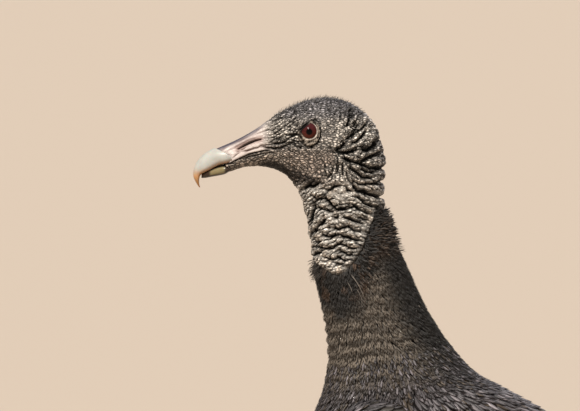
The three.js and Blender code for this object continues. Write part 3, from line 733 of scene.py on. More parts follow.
# The lids' grid goes round the eye in columns and outward in rows. Inside it lies on the eyeball, and
# outside on the cheek, which is taken as a quadratic surface through the skin round the eye.
near_eye = (eye_away > 5) & (eye_away < 13) & (outward[..., 1] < -0.3)
cheek_terms = place_terms(eye_x[near_eye], eye_z[near_eye])
cheek_curve = np.linalg.lstsq(cheek_terms, -outline[near_eye][:, 1], rcond=None)[0]
LID_COLUMNS = 150
LID_ROWS = 22
LID_SPAN = (-0.14, 1.15)  # from behind the lids' edge, at 0, to below the crease round them, at 1
lid_turn, lid_out = np.meshgrid(turns(LID_COLUMNS), np.linspace(*LID_SPAN, LID_ROWS), indexing="ij")
lid_radius = eye_opening(lid_turn) * (1 - lid_out) + lid_reach(lid_turn) * lid_out
lid_x = lid_radius * np.cos(lid_turn)
lid_z = lid_radius * np.sin(lid_turn)
on_ball = EYEBALL_ASIDE + np.sqrt(EYEBALL_RADIUS**2 - np.minimum(lid_radius, 7.0) ** 2)
on_cheek = place_terms(lid_x, lid_z) @ cheek_curve
lid_place = np.stack([np.cos(lid_turn) * 6, np.sin(lid_turn) * 6, lid_out * 7], -1)
lid_wrinkle = 0.8 * noise(lid_place, 1.7, 21) + 0.4 * noise(lid_place, 0.9, 22)
lid_ring = -bell(lid_out - 0.3, 0.08) * by_turn(LID_RIM, lid_turn)
lid_pits = pitted(lid_x + EYE[0], lid_z + EYE[1])
lower_lid = ramp(np.sin(lid_turn), 0.2, -0.3)
LUMPS_ROUND = 26  # as many as would stand round the eye, if the upper lid had them too
lump_turn = lid_turn * LUMPS_ROUND / 2 + 1.6 * lid_wrinkle + 5.0 * (lid_out - 0.6)
lid_cuts = ramp(np.abs(np.sin(lump_turn)), 0.45, 0.1) * ramp(np.sin(lid_turn), 0.35, -0.2)
lid_cuts = lid_cuts * ramp(lid_out, 0.12, 0.3)
lid_blend = ramp(lid_out, 0.12, 0.8)
lid_edge = on_ball + 0.05 + 0.5 * ramp(lid_out, -0.06, 0.08)
lid_aside = lid_edge * (1 - lid_blend) + on_cheek * lid_blend
lid_bulge = 0.8 * np.sin(math.pi * np.clip(lid_out, 0, 1)) ** 0.7
lid_bulge = lid_bulge + 0.5 * lid_ring - 1.1 * lid_pits - 0.5 * lid_cuts
lid_bulge = lid_bulge + (0.7 + 0.75 * lower_lid) * lid_wrinkle * ramp(lid_out, 0.08, 0.35)
lid_aside = lid_aside + lid_bulge - 2.2 * ramp(lid_out, 0.84, 1.15)
LID_OVER_BALL = 0.25  # the lids' least way over the eyeball
under_brow = bell(past_brow(lid_turn), 0.86, 6)
lid_aside = lid_aside * (1 - under_brow) + (on_ball + LID_OVER_BALL) * under_brow
lid_aside = np.maximum(lid_aside, on_ball + LID_OVER_BALL - 3 * ramp(lid_out, 1.02, 1.15))
# Painted shade on the lids: near black in the crease round them, at their edge on the eyeball, in the rim's
# groove, the pits, furrows and cuts, and under the brow.
lid_shade = ramp(lid_out, 0.8, 0.98) * by_turn(LID_CREASE, lid_turn)
lid_shade = lid_shade + 0.8 * ramp(lid_out, 0.02, -0.08)
lid_furrows = ramp(-lid_wrinkle, 0.0, 0.3) * ramp(lid_out, 0.25, 0.45)
lid_shade = lid_shade - 0.8 * lid_ring + lid_pits + 0.9 * lid_furrows
lid_shade = np.clip(np.maximum(lid_shade + 0.8 * lid_cuts, under_brow), 0, 1)
lid_grid = np.stack([lid_x + EYE[0], -lid_aside, lid_z + EYE[1] + EYE_RAISED], -1)


# ---------- Skin of trunk, wings, tail and legs ----------
# Under the feathers the skin is plain and dark. On the legs below the shank it is thick, pale grey
# and covered with scutes, rings on the toes' upper side and small round ones elsewhere.


def capped(points):
    """The grid with a row added at each end that gathers in the middle of the end ring."""
    ends = [np.broadcast_to(points[k].mean(0), points[k].shape)[None] for k in (0, -1)]
    return np.concatenate([ends[0], points, ends[1]])


BODY_BAKE_BOX = (0.33, 0.01, 0.30, 0.98)
BODY_START = 9.0
BODY_END = 22.0
ROWS_PER_STATION = 16
BODY_COLUMNS = 144
body_rows = np.linspace(BODY_START, BODY_END, int((BODY_END - BODY_START) * ROWS_PER_STATION) + 1)
body_rings = body_outline(*np.meshgrid(body_rows, turns(BODY_COLUMNS), indexing="ij"))
body_sheet = Sheet(body_rings, BODY_BAKE_BOX, closed=True)

# The neck's feathers ripple in low uneven ridges across it, about seven millimetres apart, and lie
# smooth behind.
RIDGE_SPACING = 7.2
RIDGE_HEIGHT = 0.9


def ridge_wave(points):
    """-1 between the ridges and 1 on them: a sine of the height, bent by noise, of uneven strength."""
    run = points[..., 2] - 0.12 * points[..., 0] + 2.2 * noise(points, 13.0, 91)
    return np.sin(2 * math.pi * run / RIDGE_SPACING) * (0.6 + 0.4 * noise(points, 17.0, 92))


on_ridges = (ramp(body_rows, 11.8, 12.6) * ramp(body_rows, 15.4, 14.4))[:, None]
on_ridges = on_ridges * ramp(body_sheet.normals[..., 0], 0.8, 0.1)
ridges = body_sheet.normals * (RIDGE_HEIGHT * ridge_wave(body_rings) * on_ridges)[..., None]
body_sheet = Sheet(body_rings + ridges, BODY_BAKE_BOX, closed=True)
COAT_DEPTH = ([9, 11.3, 14, 16, 20, 22], [3.4, 3.4, 3.6, 6.0, 7.0, 5.0])  # by ring number
body_coat = np.interp(body_rows, *COAT_DEPTH)[:, None, None]
UNDER_BARE = 36  # the row, under the bare skin's end, from which the trunk's skin is made
trunk_grid = (body_sheet.points - body_sheet.normals * body_coat)[UNDER_BARE::5, ::3]

WING_STATIONS = [
    # upper edge x, z, y; lower edge x, z, y; bulge
    (11, 304, 52, 5, 284, 57, 6),  # wrist
    (24.3, 319.8, 43, 6, 262, 62, 17),
    (58, 327, 29, 21, 224, 68, 27),  # elbow
    (102.3, 320.5, 13, 57.3, 197, 74, 38),  # scapulars
    (156, 303, 6, 112, 185.5, 77, 42),  # tertials
    (210.3, 278.5, 5, 174.3, 181.8, 75, 36),  # secondaries
    (264, 250.5, 6, 237, 172, 67, 25),  # primaries
    (318.3, 219, 8, 299.1, 165, 53, 13),  # where the tips cross
    (357, 194, 9, 344, 163.5, 43, 6),
    (392, 171, 12, 388, 164.5, 33, 2),
    (409, 158.5, 17, 408, 156.5, 26, 0.5),  # last tip
]
WING_ROWS = 160
WING_COLUMNS = 60
# How far the edges turn in towards the breast and the flank: the front one, and the lower one by row
# of the table.
FRONT_TUCK = 9.0
LOWER_TUCK = ([0, 1, 3, 5, 7, 9], [7, 8, 11, 10, 3, 0])


def wing_points(side):
    """The folded wing's outer face: a cubic curve over the side at each share of the wing's length."""
    table = np.array(WING_STATIONS, float)
    at = np.linspace(0, len(table) - 1, WING_ROWS)
    up = spline(table[:, [0, 2, 1]], at)[:, None]
    low = spline(table[:, [3, 5, 4]], at)[:, None]
    bulge = spline(table[:, 6:7] * [1, 0, 0], at)[:, None, 0]
    near_back = up + (low - up) * 0.04
    near_back[..., 1] = up[..., 1] * 0.25 + low[..., 1] * 0.75 + bulge * 0.45
    near_flank = (up + low) / 2
    near_flank[..., 1] = low[..., 1] + bulge * 0.62
    t = np.linspace(0, 1, WING_COLUMNS)[None, :, None]
    points = (1 - t) ** 3 * up + 3 * (1 - t) ** 2 * t * near_back
    points = points + 3 * (1 - t) * t**2 * near_flank + t**3 * low
    front = FRONT_TUCK * ramp(at, 1.3, 0.0)[:, None]
    below = np.interp(at, *LOWER_TUCK)[:, None] * ramp(t[..., 0], 0.64, 1.0)
    points[..., 1] -= np.maximum(front, below)
    return points * [1, side, 1]


wing_sheets = {
    "left": Sheet(wing_points(-1), (0.66, 0.01, 0.32, 0.22), facing=(0, -1, 0)),
    "right": Sheet(wing_points(1), (0.66, 0.25, 0.32, 0.22), facing=(0, 1, 0)),
}


ARM_END = 140  # the row behind which a folded wing is only feathers
ARM_THICK = 9.0


def arm_points(sheet):
    """The wing's flesh: rings that run along the sheet, set in under its feathers, and back inside."""
    points = sheet.points[:ARM_END:6, ::3]
    normals = sheet.normals[:ARM_END:6, ::3]
    share = np.linspace(0, 1, points.shape[0])[:, None, None]
    across = np.linspace(0, 1, points.shape[1])[None, :, None]
    inset = 3.2 + 3.4 * ramp(share, 0.15, 0.45)
    full = np.sin(math.pi * across) ** 0.8 * (1 - share) ** 0.6 * ramp(share, -0.1, 0.2)
    body = 0.6 + ARM_THICK * full
    narrower = 0.06 * (across - 0.5) * -2 * ramp(share, 0.5, 1.0)
    points = points + narrower * (points[:, -1:] - points[:, :1])
    return np.concatenate([points - normals * inset, (points - normals * (inset + body))[:, ::-1]], axis=1)


TAIL_ROOT = (261.3, 236)
TAIL_TIP = (423.3, 138)
TAIL_HALF_WIDTHS = (27, 43)
TAIL_ARCH = 7
TAIL_ROUNDING = 10  # how much farther its middle reaches than its corners
TAIL_COLUMNS = 40


def tail_points(rows, columns, above):
    """The fanned tail's upper face: a plate that widens, arches down at its sides and ends round."""
    share, aside = np.meshgrid(np.linspace(0, 1, rows), np.linspace(-1, 1, columns), indexing="ij")
    (x0, z0), (x1, z1) = TAIL_ROOT, TAIL_TIP
    half = TAIL_HALF_WIDTHS[0] + (TAIL_HALF_WIDTHS[1] - TAIL_HALF_WIDTHS[0]) * share**0.8
    reach = share * (1 - TAIL_ROUNDING / (x1 - x0) * aside**2)
    up = above * (1 - 0.7 * share**0.6)
    height = z0 + (z1 - z0) * reach - TAIL_ARCH * aside**2 + up
    return np.stack([x0 + (x1 - x0) * reach, aside * half, height], -1)


tail_sheet = Sheet(tail_points(50, TAIL_COLUMNS, 4.0), (0.66, 0.49, 0.20, 0.14), facing=(0, 0, 1))
tail_flesh = np.concatenate([tail_points(12, 15, 2.0)[:9], tail_points(12, 15, -1.5)[:9, ::-1]], axis=1)

SHANK = [
    # x, y, z, half depth along the bird, half width
    (142, 36, 214, 33, 22),
    (148, 37, 182, 27, 20.5),
    (155, 38, 148, 19, 15.5),
    (161.5, 39, 114, 11.5, 10),
    (166.4, 40, 88.5, 7.8, 7.2),
]
SHANK_ROWS = 60
ANKLE = np.array((167.6, 40, 90))
FOOT = np.array((145, 41, 9))
TARSUS = np.array([
    # share of the way from ankle to foot, half depth along the bird, half width
    (0, 7, 6.4), (0.12, 8, 7), (0.3, 5.4, 4.9), (0.75, 5, 4.8), (0.94, 6.6, 6.8), (1, 6.6, 6.6),
])
TARSUS_ROWS = 96
TARSUS_COLUMNS = 36
TOE_COLUMNS = 22
ASIDE = np.array([0.0, 1.0, 0.0])
UPWARD = np.array([0.0, 0.0, 1.0])
TOES = {
    # turn from the front in degrees, length, radius at root and end, knuckles
    "inner": (27, 41, 5.2, 3.8, 2),
    "middle": (2, 63, 5.6, 3.9, 3),
    "outer": (-26, 47, 5.2, 3.8, 3),
    "hind": (172, 20, 4.6, 3.6, 1),
}
SOLE_SINK = 0.8  # a toe's middle stands at this share of its radius, which flattens the sole
OVER_FLOOR = 0.02
TOE_TIP = 0.042  # how far past its length a toe rounds off, as a share of it
KNUCKLE_BULGE = 0.065
PAD_RADIUS = 9.5
PAD_HEIGHT = 12.0
# The way from one scute to the next and how far they stand out, on the tarsus and on the toes.
TARSUS_SCUTES = (3.6, 0.42)
TOE_SCUTES = (3.1, 0.4)


def tube(middles, radius_a, radius_b, way_a, way_b, columns):
    """Rings middle + way_a * radius_a * cos + way_b * radius_b * sin, one for each middle."""
    turn = turns(columns)[None, :, None]
    a = radius_a[:, None, None] * way_a[..., None, :]
    b = radius_b[:, None, None] * way_b[..., None, :]
    return middles[:, None] + a * np.cos(turn) + b * np.sin(turn)


def shank_points(side, inset):
    """The feathered shank: rings square to the line from thigh to ankle, which narrow downwards."""
    table = np.array(SHANK, float)
    rows = spline(table, np.linspace(0, len(table) - 1, SHANK_ROWS))
    middles = rows[:, :3] * [1, side, 1]
    forward = unit(np.cross(ASIDE, unit(np.gradient(middles, axis=0))))
    shrink = inset * np.linspace(1, 0.25, SHANK_ROWS)
    return tube(middles, rows[:, 3] - shrink, rows[:, 4] - shrink, -forward, ASIDE, 48)


def scutes(run, turn, pitch, rings):
    """Height of scutes: bands across the front where rings is 1, and round ones elsewhere."""
    band = np.abs(np.sin(math.pi * run / pitch)) ** 0.4 - 0.5
    slanting = np.sin(turn * 5 + run / pitch * 1.3)
    small = np.abs(np.sin(math.pi * run / (pitch * 0.55)) * slanting) ** 0.4 - 0.5
    return band * rings + small * (1 - rings)


def scute_gaps(height):
    """1 in the gaps between scutes and 0 on them."""
    return ramp(height, 0.1, -0.3)


def tarsus_points(side):
    """The bare leg between ankle and foot, with broad scutes down its front, and the scutes' gaps."""
    share = np.linspace(0, 1, TARSUS_ROWS)
    top = ANKLE * [1, side, 1]
    low = FOOT * [1, side, 1]
    middles = top + (low - top) * share[:, None]
    along = np.interp(share, TARSUS[:, 0], TARSUS[:, 1])
    across = np.interp(share, TARSUS[:, 0], TARSUS[:, 2])
    forward = unit(np.cross(ASIDE, unit(low - top)))
    points = tube(middles, along, across, -forward, ASIDE, TARSUS_COLUMNS)
    turn = turns(TARSUS_COLUMNS)[None]
    run = share[:, None] * np.linalg.norm(low - top)
    front = ramp(np.cos(turn) * np.sign(forward[0]), -0.1, 0.4)
    height = scutes(run, turn, TARSUS_SCUTES[0], front)
    raised = unit(points - middles[:, None]) * TARSUS_SCUTES[1] * height[..., None]
    return points + raised, scute_gaps(height)


def toe_ways(turn_degrees, side):
    """The way a toe points and the way across it, on the floor."""
    turn = math.radians(turn_degrees)
    way = np.array([-math.cos(turn), -side * math.sin(turn), 0.0])
    return way, np.cross(UPWARD, way)


def toe_points(turn_degrees, length, root, end, knuckles, side):
    """A toe and its scutes' gaps: a tube with knuckles, flat on the floor and ringed on top."""
    way, across = toe_ways(turn_degrees, side)
    share = np.concatenate([np.linspace(0, 1, int(length * 1.35)), [1.02, 1.035, 1.04]])
    waves = np.cos(2 * math.pi * share * (knuckles + 1))
    radius = (root + (end - root) * share) * (1 + KNUCKLE_BULGE * waves)
    rounding = np.clip(1 - ((share - 1) / TOE_TIP) ** 2, 0.02, 1)
    radius = radius * np.sqrt(np.where(share > 1, rounding, 1.0))
    middles = way * (share * length)[:, None] + UPWARD * (radius * SOLE_SINK)[:, None]
    middles = middles + FOOT * [1, side, 0]
    points = tube(middles, radius, radius, UPWARD, across, TOE_COLUMNS)
    turn = turns(TOE_COLUMNS)[None]
    height = scutes((share * length)[:, None], turn, TOE_SCUTES[0], ramp(np.cos(turn), -0.1, 0.5))
    points = points + unit(points - middles[:, None]) * TOE_SCUTES[1] * height[..., None]
    points[..., 2] = np.maximum(points[..., 2], OVER_FLOOR)
    return points, scute_gaps(height)


def pad_points(side):
    """The ball of the foot, a dome on the floor."""
    share = np.array([0.002, 0.1, 0.2, 0.35, 0.5, 0.65, 0.8, 0.9, 0.96])
    radius = PAD_RADIUS * np.sqrt(1 - share**2)
    middles = FOOT * [1, side, 0] + PAD_HEIGHT * UPWARD * share[:, None]
    return tube(middles, radius, radius * 0.9, np.array([1.0, 0.0, 0.0]), ASIDE, 32)


# ---------- Making meshes, and the skin's mesh and colours ----------
# The skin is one mesh. Its head is grey, darkest on the crown, with a pale smooth part round the
# nostrils and cream folds on the neck. Shade is painted into it between the folds, under the jaw and
# along the feathers' edge.


def grid_faces(rows, columns, closed):
    """Quads between a grid's points, and the row and column of each corner, counted on past a seam."""
    strips = columns if closed else columns - 1
    row, column = np.meshgrid(np.arange(rows - 1), np.arange(strips), indexing="ij")
    steps = np.array([(0, 0), (0, 1), (1, 1), (1, 0)])
    corners = np.stack([row, column], -1).reshape(-1, 1, 2) + steps
    return corners[..., 0] * columns + corners[..., 1] % columns, corners


def volume_of(points, faces):
    """Six times the volume inside quads, negative if they face inward."""
    a, b, c, d = (points[faces[:, k]] - points.mean(0) for k in range(4))
    return np.sum(np.cross(a, b) * c) + np.sum(np.cross(a, c) * d)


class Assembly:
    """Surfaces gathered for one mesh, with UV maps by corner, and colours and numbers by point."""

    def __init__(self):
        self.points = []
        self.faces = []
        self.corner_maps = {}
        self.point_values = {}
        self.count = 0

    def gather(self, points, faces, corner_maps, point_values):
        """Keeps a surface, with its faces counted on from the last one's points."""
        self.points.append(points)
        self.faces.append(faces + self.count)
        self.count += len(points)
        for store, added in ((self.corner_maps, corner_maps), (self.point_values, point_values)):
            for layer, values in added.items():
                store.setdefault(layer, []).append(values)

    def add(self, grid, bake_box, colour, crease=0.0, wrinkled=1.0, closed=True, facing=None):
        """Adds a grid. It is turned to face outward, or for an open one to face along facing.

        Each point has a colour, a crease value for the painted shade that darkens the skin towards black,
        and a value for how finely wrinkled it is.
        """
        rows, columns = grid.shape[:2]
        faces, corners = grid_faces(rows, columns, closed)
        points = grid.reshape(-1, 3)
        if facing is None:
            flipped = volume_of(points, faces) < 0
        else:
            a, b, c = (points[faces[:, k]] for k in range(3))
            flipped = np.sum(np.cross(b - a, c - b) @ np.asarray(facing, float)) < 0
        if flipped:
            faces, corners = faces[:, ::-1], corners[:, ::-1]
        shares = corners / [max(rows - 1, 1), columns if closed else columns - 1]
        bakes = np.array(bake_box[:2]) + shares * np.array(bake_box[2:])
        values = {
            "tone": np.broadcast_to(colour, (rows, columns, 3)).reshape(-1, 3),
            "crease": np.broadcast_to(crease, (rows, columns)).ravel(),
            "wrinkled": np.broadcast_to(wrinkled, (rows, columns)).ravel(),
        }
        self.gather(points, faces, {"OFBake": bakes.reshape(-1, 2)}, values)

    def finish(self, name, material, slot, replaced=()):
        """Makes a smooth mesh object in metres, which rides on the bird in place of CAD nodes."""
        points = (np.concatenate(self.points) + [EYE_X, 0, 0]) * MM
        faces = np.concatenate(self.faces)
        mesh = bpy.data.meshes.new(name)
        mesh.vertices.add(len(points))
        mesh.vertices.foreach_set("co", points.astype(np.float32).ravel())
        mesh.loops.add(faces.size)
        mesh.loops.foreach_set("vertex_index", faces.astype(np.int32).ravel())
        mesh.polygons.add(len(faces))
        mesh.polygons.foreach_set("loop_start", np.arange(0, faces.size, faces.shape[1], dtype=np.int32))
        mesh.polygons.foreach_set("use_smooth", np.ones(len(faces), bool))
        for layer, parts in self.corner_maps.items():
            flat = np.concatenate(parts).astype(np.float32).ravel()
            mesh.uv_layers.new(name=layer).data.foreach_set("uv", flat)
        for layer, parts in self.point_values.items():
            values = np.concatenate(parts).astype(np.float32)
            kind, field = ("FLOAT_VECTOR", "vector") if values.ndim == 2 else ("FLOAT", "value")
            mesh.attributes.new(layer, kind, "POINT").data.foreach_set(field, values.ravel())
        mesh.update(calc_edges=True)
        mesh.validate()
        mesh.materials.append(material)
        piece = bpy.data.objects.new(name, mesh)
        bpy.context.scene.collection.objects.link(piece)
        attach(piece, "root")
        if replaced:
            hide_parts(*replaced)


def rgb(hex_colour):
    """An sRGB colour as a linear numpy colour."""
    return np.array(linear(hex_colour)[:3])


def toward(colour, other, share):
    """Colours moved by a share of the way towards another one."""
    return colour + (rgb(other) - colour) * share[..., None]


def painted(base, *layers):
    """Colours over a grid: base, then each (mask, colour) laid over what is there already."""
    colour = np.broadcast_to(rgb(base), layers[0][0].shape + (3,))
    for mask, over in layers:
        colour = toward(colour, over, np.clip(mask, 0, 1))
    return colour


up_facing = outward[..., 2]
patches = ramp(noise(outline, 14.0, 51), -0.5, 0.6)
spots = ramp(noise(outline, 3.0, 52), 0.0, 0.8)
crown_area = ramp(side_z, 486.0, 494.0) * ramp(side_x, -24.0, -12.0)
nape_area = ramp(side_x, 34.0, 44.0) * ramp(side_z, 440.0, 456.0)
crown_area = np.maximum(crown_area, 0.6 * nape_area)
cheek_area = ramp(side_z, 474.0, 468.0) * ramp(side_z, 446.0, 454.0) * (1 - fan) * (1 - jaw)
# Painted shadow: the skin under the jaw and on the throat that faces down is painted near black.
throat_shadow = ramp(-up_facing, 0.3, 0.75) * ramp(side_z, 436.0, 446.0)
throat_shadow = throat_shadow * ramp(side_x, 6.0, -2.0) * ramp(side_x, -34.0, -22.0)
# Painted shadow: a dark band along and under the jaw's lower edge.
JAW_SHADE = [(-27.0, 460.5), (-12.0, 457.5), (1.0, 452.5)]
under_jaw_shadow = line_distance(side_x, side_z, JAW_SHADE)[0] + 1.4 * ripples
under_jaw_shadow = ramp(under_jaw_shadow, 5.0, 1.0) * on_side
BILL_WAYS = np.array([[0.87, 0.0, 0.5], [0.0, 1.0, 0.0], [-0.5, 0.0, 0.87]])  # along, aside and up
STREAK_SIZE = [7.0, 1.6, 0.8]
streaks = ramp(noise(outline @ BILL_WAYS.T / STREAK_SIZE, 1.0, 53), 0.05, 0.7)
# Painted shade: the skin behind, just above the feathers' edge, is darkened.
feather_edge_shade = ramp(below_feather_line(side_x, side_z) + 1.5 * ripples, -4.5, 0.0)
feather_edge_shade = feather_edge_shade * ramp(side_x, 20.0, 28.0)
head_colour = painted(
    "c8c0b8",
    (on_neck, "f6f0e8"),
    (on_neck * spots * 0.4, "cdb398"),
    (fan * 0.85, "eee6dc"),
    (before_eye * 0.85, "ece4da"),
    (cheek_area * 0.85, "ac9c90"),
    (jaw * 0.9, "b9aca0"),
    # the jaw's lower part, darkened as painted shade
    (jaw * ramp(side_z, 463.0, 459.0) * 0.5, "5b504a"),
    (crown_area * 0.8, "a3a0a6"),
    (ramp(up_facing, 0.6, 0.95) * 0.4 * (1 - on_neck), "5f5d69"),
    (cere, "d9cfcb"),
    (cere * streaks * 0.75, "8a7b79"),
    (cere * ramp(up_facing, 0.55, 0.9), "3d3a4b"),
    (cere * nostril_pit * on_side * 0.75, "70473a"),
    (cere * (face_cut + 0.5 * ramp(spots, 0.6, 0.9) * nostril_pit) * 0.8, "6b4334"),
    (throat_shadow * 0.9, "1c1714"),
    (under_jaw_shadow * 0.85, "2e2723"),
    (feather_edge_shade * 0.75, "352d27"),
    (feathered, "2a2522"),
)
shade = (0.78 + 0.44 * cell_tone) * (0.9 + 0.2 * patches) * (1 + 0.12 * ripples)
head_colour = head_colour * np.where(cere > 0.5, 1.0, shade)[..., None]
# Painted shade: how far each point's colour is darkened towards near black in the shader, in the creases,
# cuts, pits, gape, nostril, ear, round the lids and where the skin tucks under the horn.
head_crease_shade = np.clip(
    np.clip(crease * crease_depth, 0, 1)
    + on_side * (gape_cut + nostril_cut + face_cut * (1 - 0.5 * cere) + ear_cut + lid_crease)
    + 1.1 * on_folds * fold_cut
    + skin_pits + on_side * ramp(lid_share, 1.03, 0.97) * by_turn(LID_CREASE, eye_turn),
    0, 1,
)
head_crease_shade = np.maximum(head_crease_shade, under_horn)

fineness = (1 - 0.85 * cere) * (1 - 0.25 * on_neck)


def with_ends(values):
    """The first and last rows once more, for the rows that capped adds."""
    return np.concatenate([values[:1], values, values[-1:]])


PLAIN_SKIN = rgb("2b2523")
LEG_SKIN = rgb("9b958a")
GAP_SHADE = 0.75
skin = Assembly()
skin.add(
    capped(head_grid), HEAD_BAKE_BOX, with_ends(head_colour), with_ends(head_crease_shade), with_ends(fineness)
)
FRONT_CORNER = {0: 0, 132: 0, 150: 1, 190: 1, 214: 0, 360: 0}  # dark between the lids, by degrees
lid_colour = painted(
    "93887c",
    (ramp(lid_out, 0.25, 0.1) * by_turn(LID_RIM, lid_turn), "dfd5cb"),
    (ramp(lid_out, 0.5, 1.0) * 0.4, "8b8177"),
    (by_turn(FRONT_CORNER, lid_turn) * ramp(lid_out, 0.75, 0.4), "2b211d"),
)
# Painted light and shade: the lids are lighter where their wrinkles stand out and darker where they sink.
lid_colour = lid_colour * (1 + 0.35 * lid_wrinkle)[..., None]
for side in (1, -1):
    box = (0.66, 0.94 + 0.025 * side, 0.1, 0.03)
    lids = (lid_grid * [1, side, 1]).swapaxes(0, 1)
    skin.add(lids, box, lid_colour.swapaxes(0, 1), lid_shade.T, 0.35, facing=(0, -side, 0))
skin.add(capped(trunk_grid), BODY_BAKE_BOX, PLAIN_SKIN)
for sheet in wing_sheets.values():
    skin.add(capped(arm_points(sheet)), sheet.bake_box, PLAIN_SKIN)
skin.add(capped(tail_flesh), tail_sheet.bake_box, PLAIN_SKIN)
LEG_BOXES = {-1: (0.66, 0.65, 0.15, 0.12), 1: (0.82, 0.65, 0.15, 0.12)}
for side, box in LEG_BOXES.items():
    skin.add(capped(shank_points(side, 6.0)[::3, ::3]), box, PLAIN_SKIN)
    left, below = box[0], box[1] + 0.13
    points, gaps = tarsus_points(side)
    skin.add(capped(points), (left, below, 0.07, 0.1), LEG_SKIN, GAP_SHADE * with_ends(gaps))
    skin.add(capped(pad_points(side)), (left + 0.08, below, 0.02, 0.1), LEG_SKIN)
    for number, toe in enumerate(TOES.values()):
        toe_box = (left + 0.1 + 0.012 * number, below, 0.011, 0.1)
        points, gaps = toe_points(*toe, side)
        skin.add(capped(points), toe_box, LEG_SKIN, GAP_SHADE * with_ends(gaps))

# Bare skin, matte and slightly moist, with wrinkles finer than the mesh, 1.45 mm apart. They break up
# its light, and are painted darker in their hollows and lighter on their tops; its creases are painted
# near black as shade.
WRINKLE_SPACING = 1.45 * MM
skin_material, tree, out = new_material("bare_wrinkled_skin")
place = node(tree, "TexCoord").outputs["Object"]
tone = node(tree, "Attribute", {"attribute_name": "tone"}).outputs["Color"]
deep = node(tree, "Attribute", {"attribute_name": "crease"}).outputs["Fac"]
bend = node(tree, "TexNoise", Vector=place, Scale=1 / (2.4 * MM), Detail=2.0).outputs["Color"]
bent = node(tree, "Mix", {"data_type": "VECTOR"}, Factor=0.0012, _4=place, _5=bend).outputs[1]
grain = node(
    tree, "Mapping", Vector=bent, Rotation=(0, math.radians(28), 0), Scale=(0.55, 1, 1.15)
).outputs[0]
fine = node(tree, "TexVoronoi", {"feature": "DISTANCE_TO_EDGE"}, Vector=grain, Scale=1 / WRINKLE_SPACING)
wrinkle = node(
    tree, "MapRange", {"interpolation_type": "SMOOTHSTEP"},
    Value=fine.outputs["Distance"], From_Min=0.03, From_Max=0.34,
).outputs["Result"]
fineness_here = node(tree, "Attribute", {"attribute_name": "wrinkled"}).outputs["Fac"]
fine_height = node(tree, "Mix", Factor=fineness_here, _2=0.72, _3=wrinkle).outputs[0]
# Painted light and shade of the fine wrinkles: their hollows are darkened and their tops lightened.
fine_wrinkle_shade = node(tree, "MapRange", Value=fine_height, To_Min=0.12, To_Max=1.4)
finely = node(tree, "VectorMath", {"operation": "SCALE"}, _0=tone, Scale=fine_wrinkle_shade.outputs["Result"])
# Painted shade: the crease value darkens the colour towards near black.
dark = node(
    tree, "Mix", {"data_type": "RGBA"},
    Factor=deep, _6=finely.outputs["Vector"], _7=linear("0b0908"),
).outputs[2]
bump = node(tree, "Bump", Strength=0.75, Distance=0.55 * MM, Height=fine_height)
matte = node(tree, "MapRange", Value=deep, From_Min=0.2, From_Max=0.9, To_Min=0.5, To_Max=1.0)
shader = node(
    tree, "BsdfPrincipled", Specular_IOR_Level=0.28,
    Base_Color=dark, Normal=bump.outputs["Normal"], Roughness=matte.outputs["Result"],
)
tree.links.new(shader.outputs[0], out.inputs[0])

FLESH = ("head", "lower_jaw", "neck_upper", "neck_lower", "trunk", "wing_left", "wing_right", "tail")
LEGS = tuple(f"{part}_{side}" for part in ("shank", "tarsus", "foot") for side in ("left", "right"))
skin.finish("skin", skin_material, "skin", FLESH + LEGS)


# ---------- Bill ----------
# Two sheaths of horn over the jaws' ends. The upper one hooks down over the lower. They are pale
# and smooth, a little translucent, and turn amber towards the hook and along the cutting edge.

UPPER_HORN = [
    # ridge x, z; edge x, z; half width
    (-57, 472.3, -47, 463.4, 7.9),
    (-58.6, 471.5, -50.6, 462.6, 7.4),
    (-61.6, 469.9, -53.9, 461.9, 6.3),
    (-66.5, 465.4, -60.6, 458.6, 5.1),
    (-69.3, 459.9, -64.7, 456.6, 3.8),
    (-69.7, 455.4, -66, 454.1, 2.7),
    (-68.3, 451.9, -66.2, 451.1, 1.6),
    (-66.3, 448.7, -65.6, 448.6, 0.5),
]
LOWER_HORN = [
    # x, top z, bottom z, half width
    (-48, 461, 458.2, 5.6),
    (-50.6, 462.3, 456.6, 6.5),
    (-55, 461.6, 455.6, 5.2),
    (-59, 459.9, 454.9, 4.1),
    (-62.2, 458.3, 454.3, 2.9),
    (-64.8, 457.2, 454.2, 1.3),
]
UPPER_HORN_ROWS = 70
LOWER_HORN_ROWS = 50
HORN_COLUMNS = 56
BACK_SET = 3.9  # how far its rear edge bends back on the side, between ridge and cutting edge


def upper_horn():
    """Slanted rings between ridge and cutting edge, narrow at the ridge and flat below."""
    table = np.array(UPPER_HORN)
    rows = spline(table, np.linspace(0, len(table) - 1, UPPER_HORN_ROWS))
    ridge = np.stack([rows[:, 0], 0 * rows[:, 0], rows[:, 1]], -1)[:, None]
    edge = np.stack([rows[:, 2], 0 * rows[:, 0], rows[:, 3]], -1)[:, None]
    turn = turns(HORN_COLUMNS)[None]
    height = np.cos(turn)
    height = np.where(height < 0, fuller(height, 0.8), height)
    points = (ridge + edge) / 2 + (ridge - edge) / 2 * height[..., None]
    fullness = 1 - 0.16 * np.cos(turn)
    points[..., 1] += rows[:, 4:5] * fuller(np.sin(turn), 0.85) * fullness
    rear = np.linspace(1, 0, UPPER_HORN_ROWS)[:, None] ** 6
    back_set = BACK_SET * rear * np.clip(1 - height**2, 0, 1)
    points[..., 0] += back_set
    points[..., 1] *= 1 + 0.022 * back_set
    return points


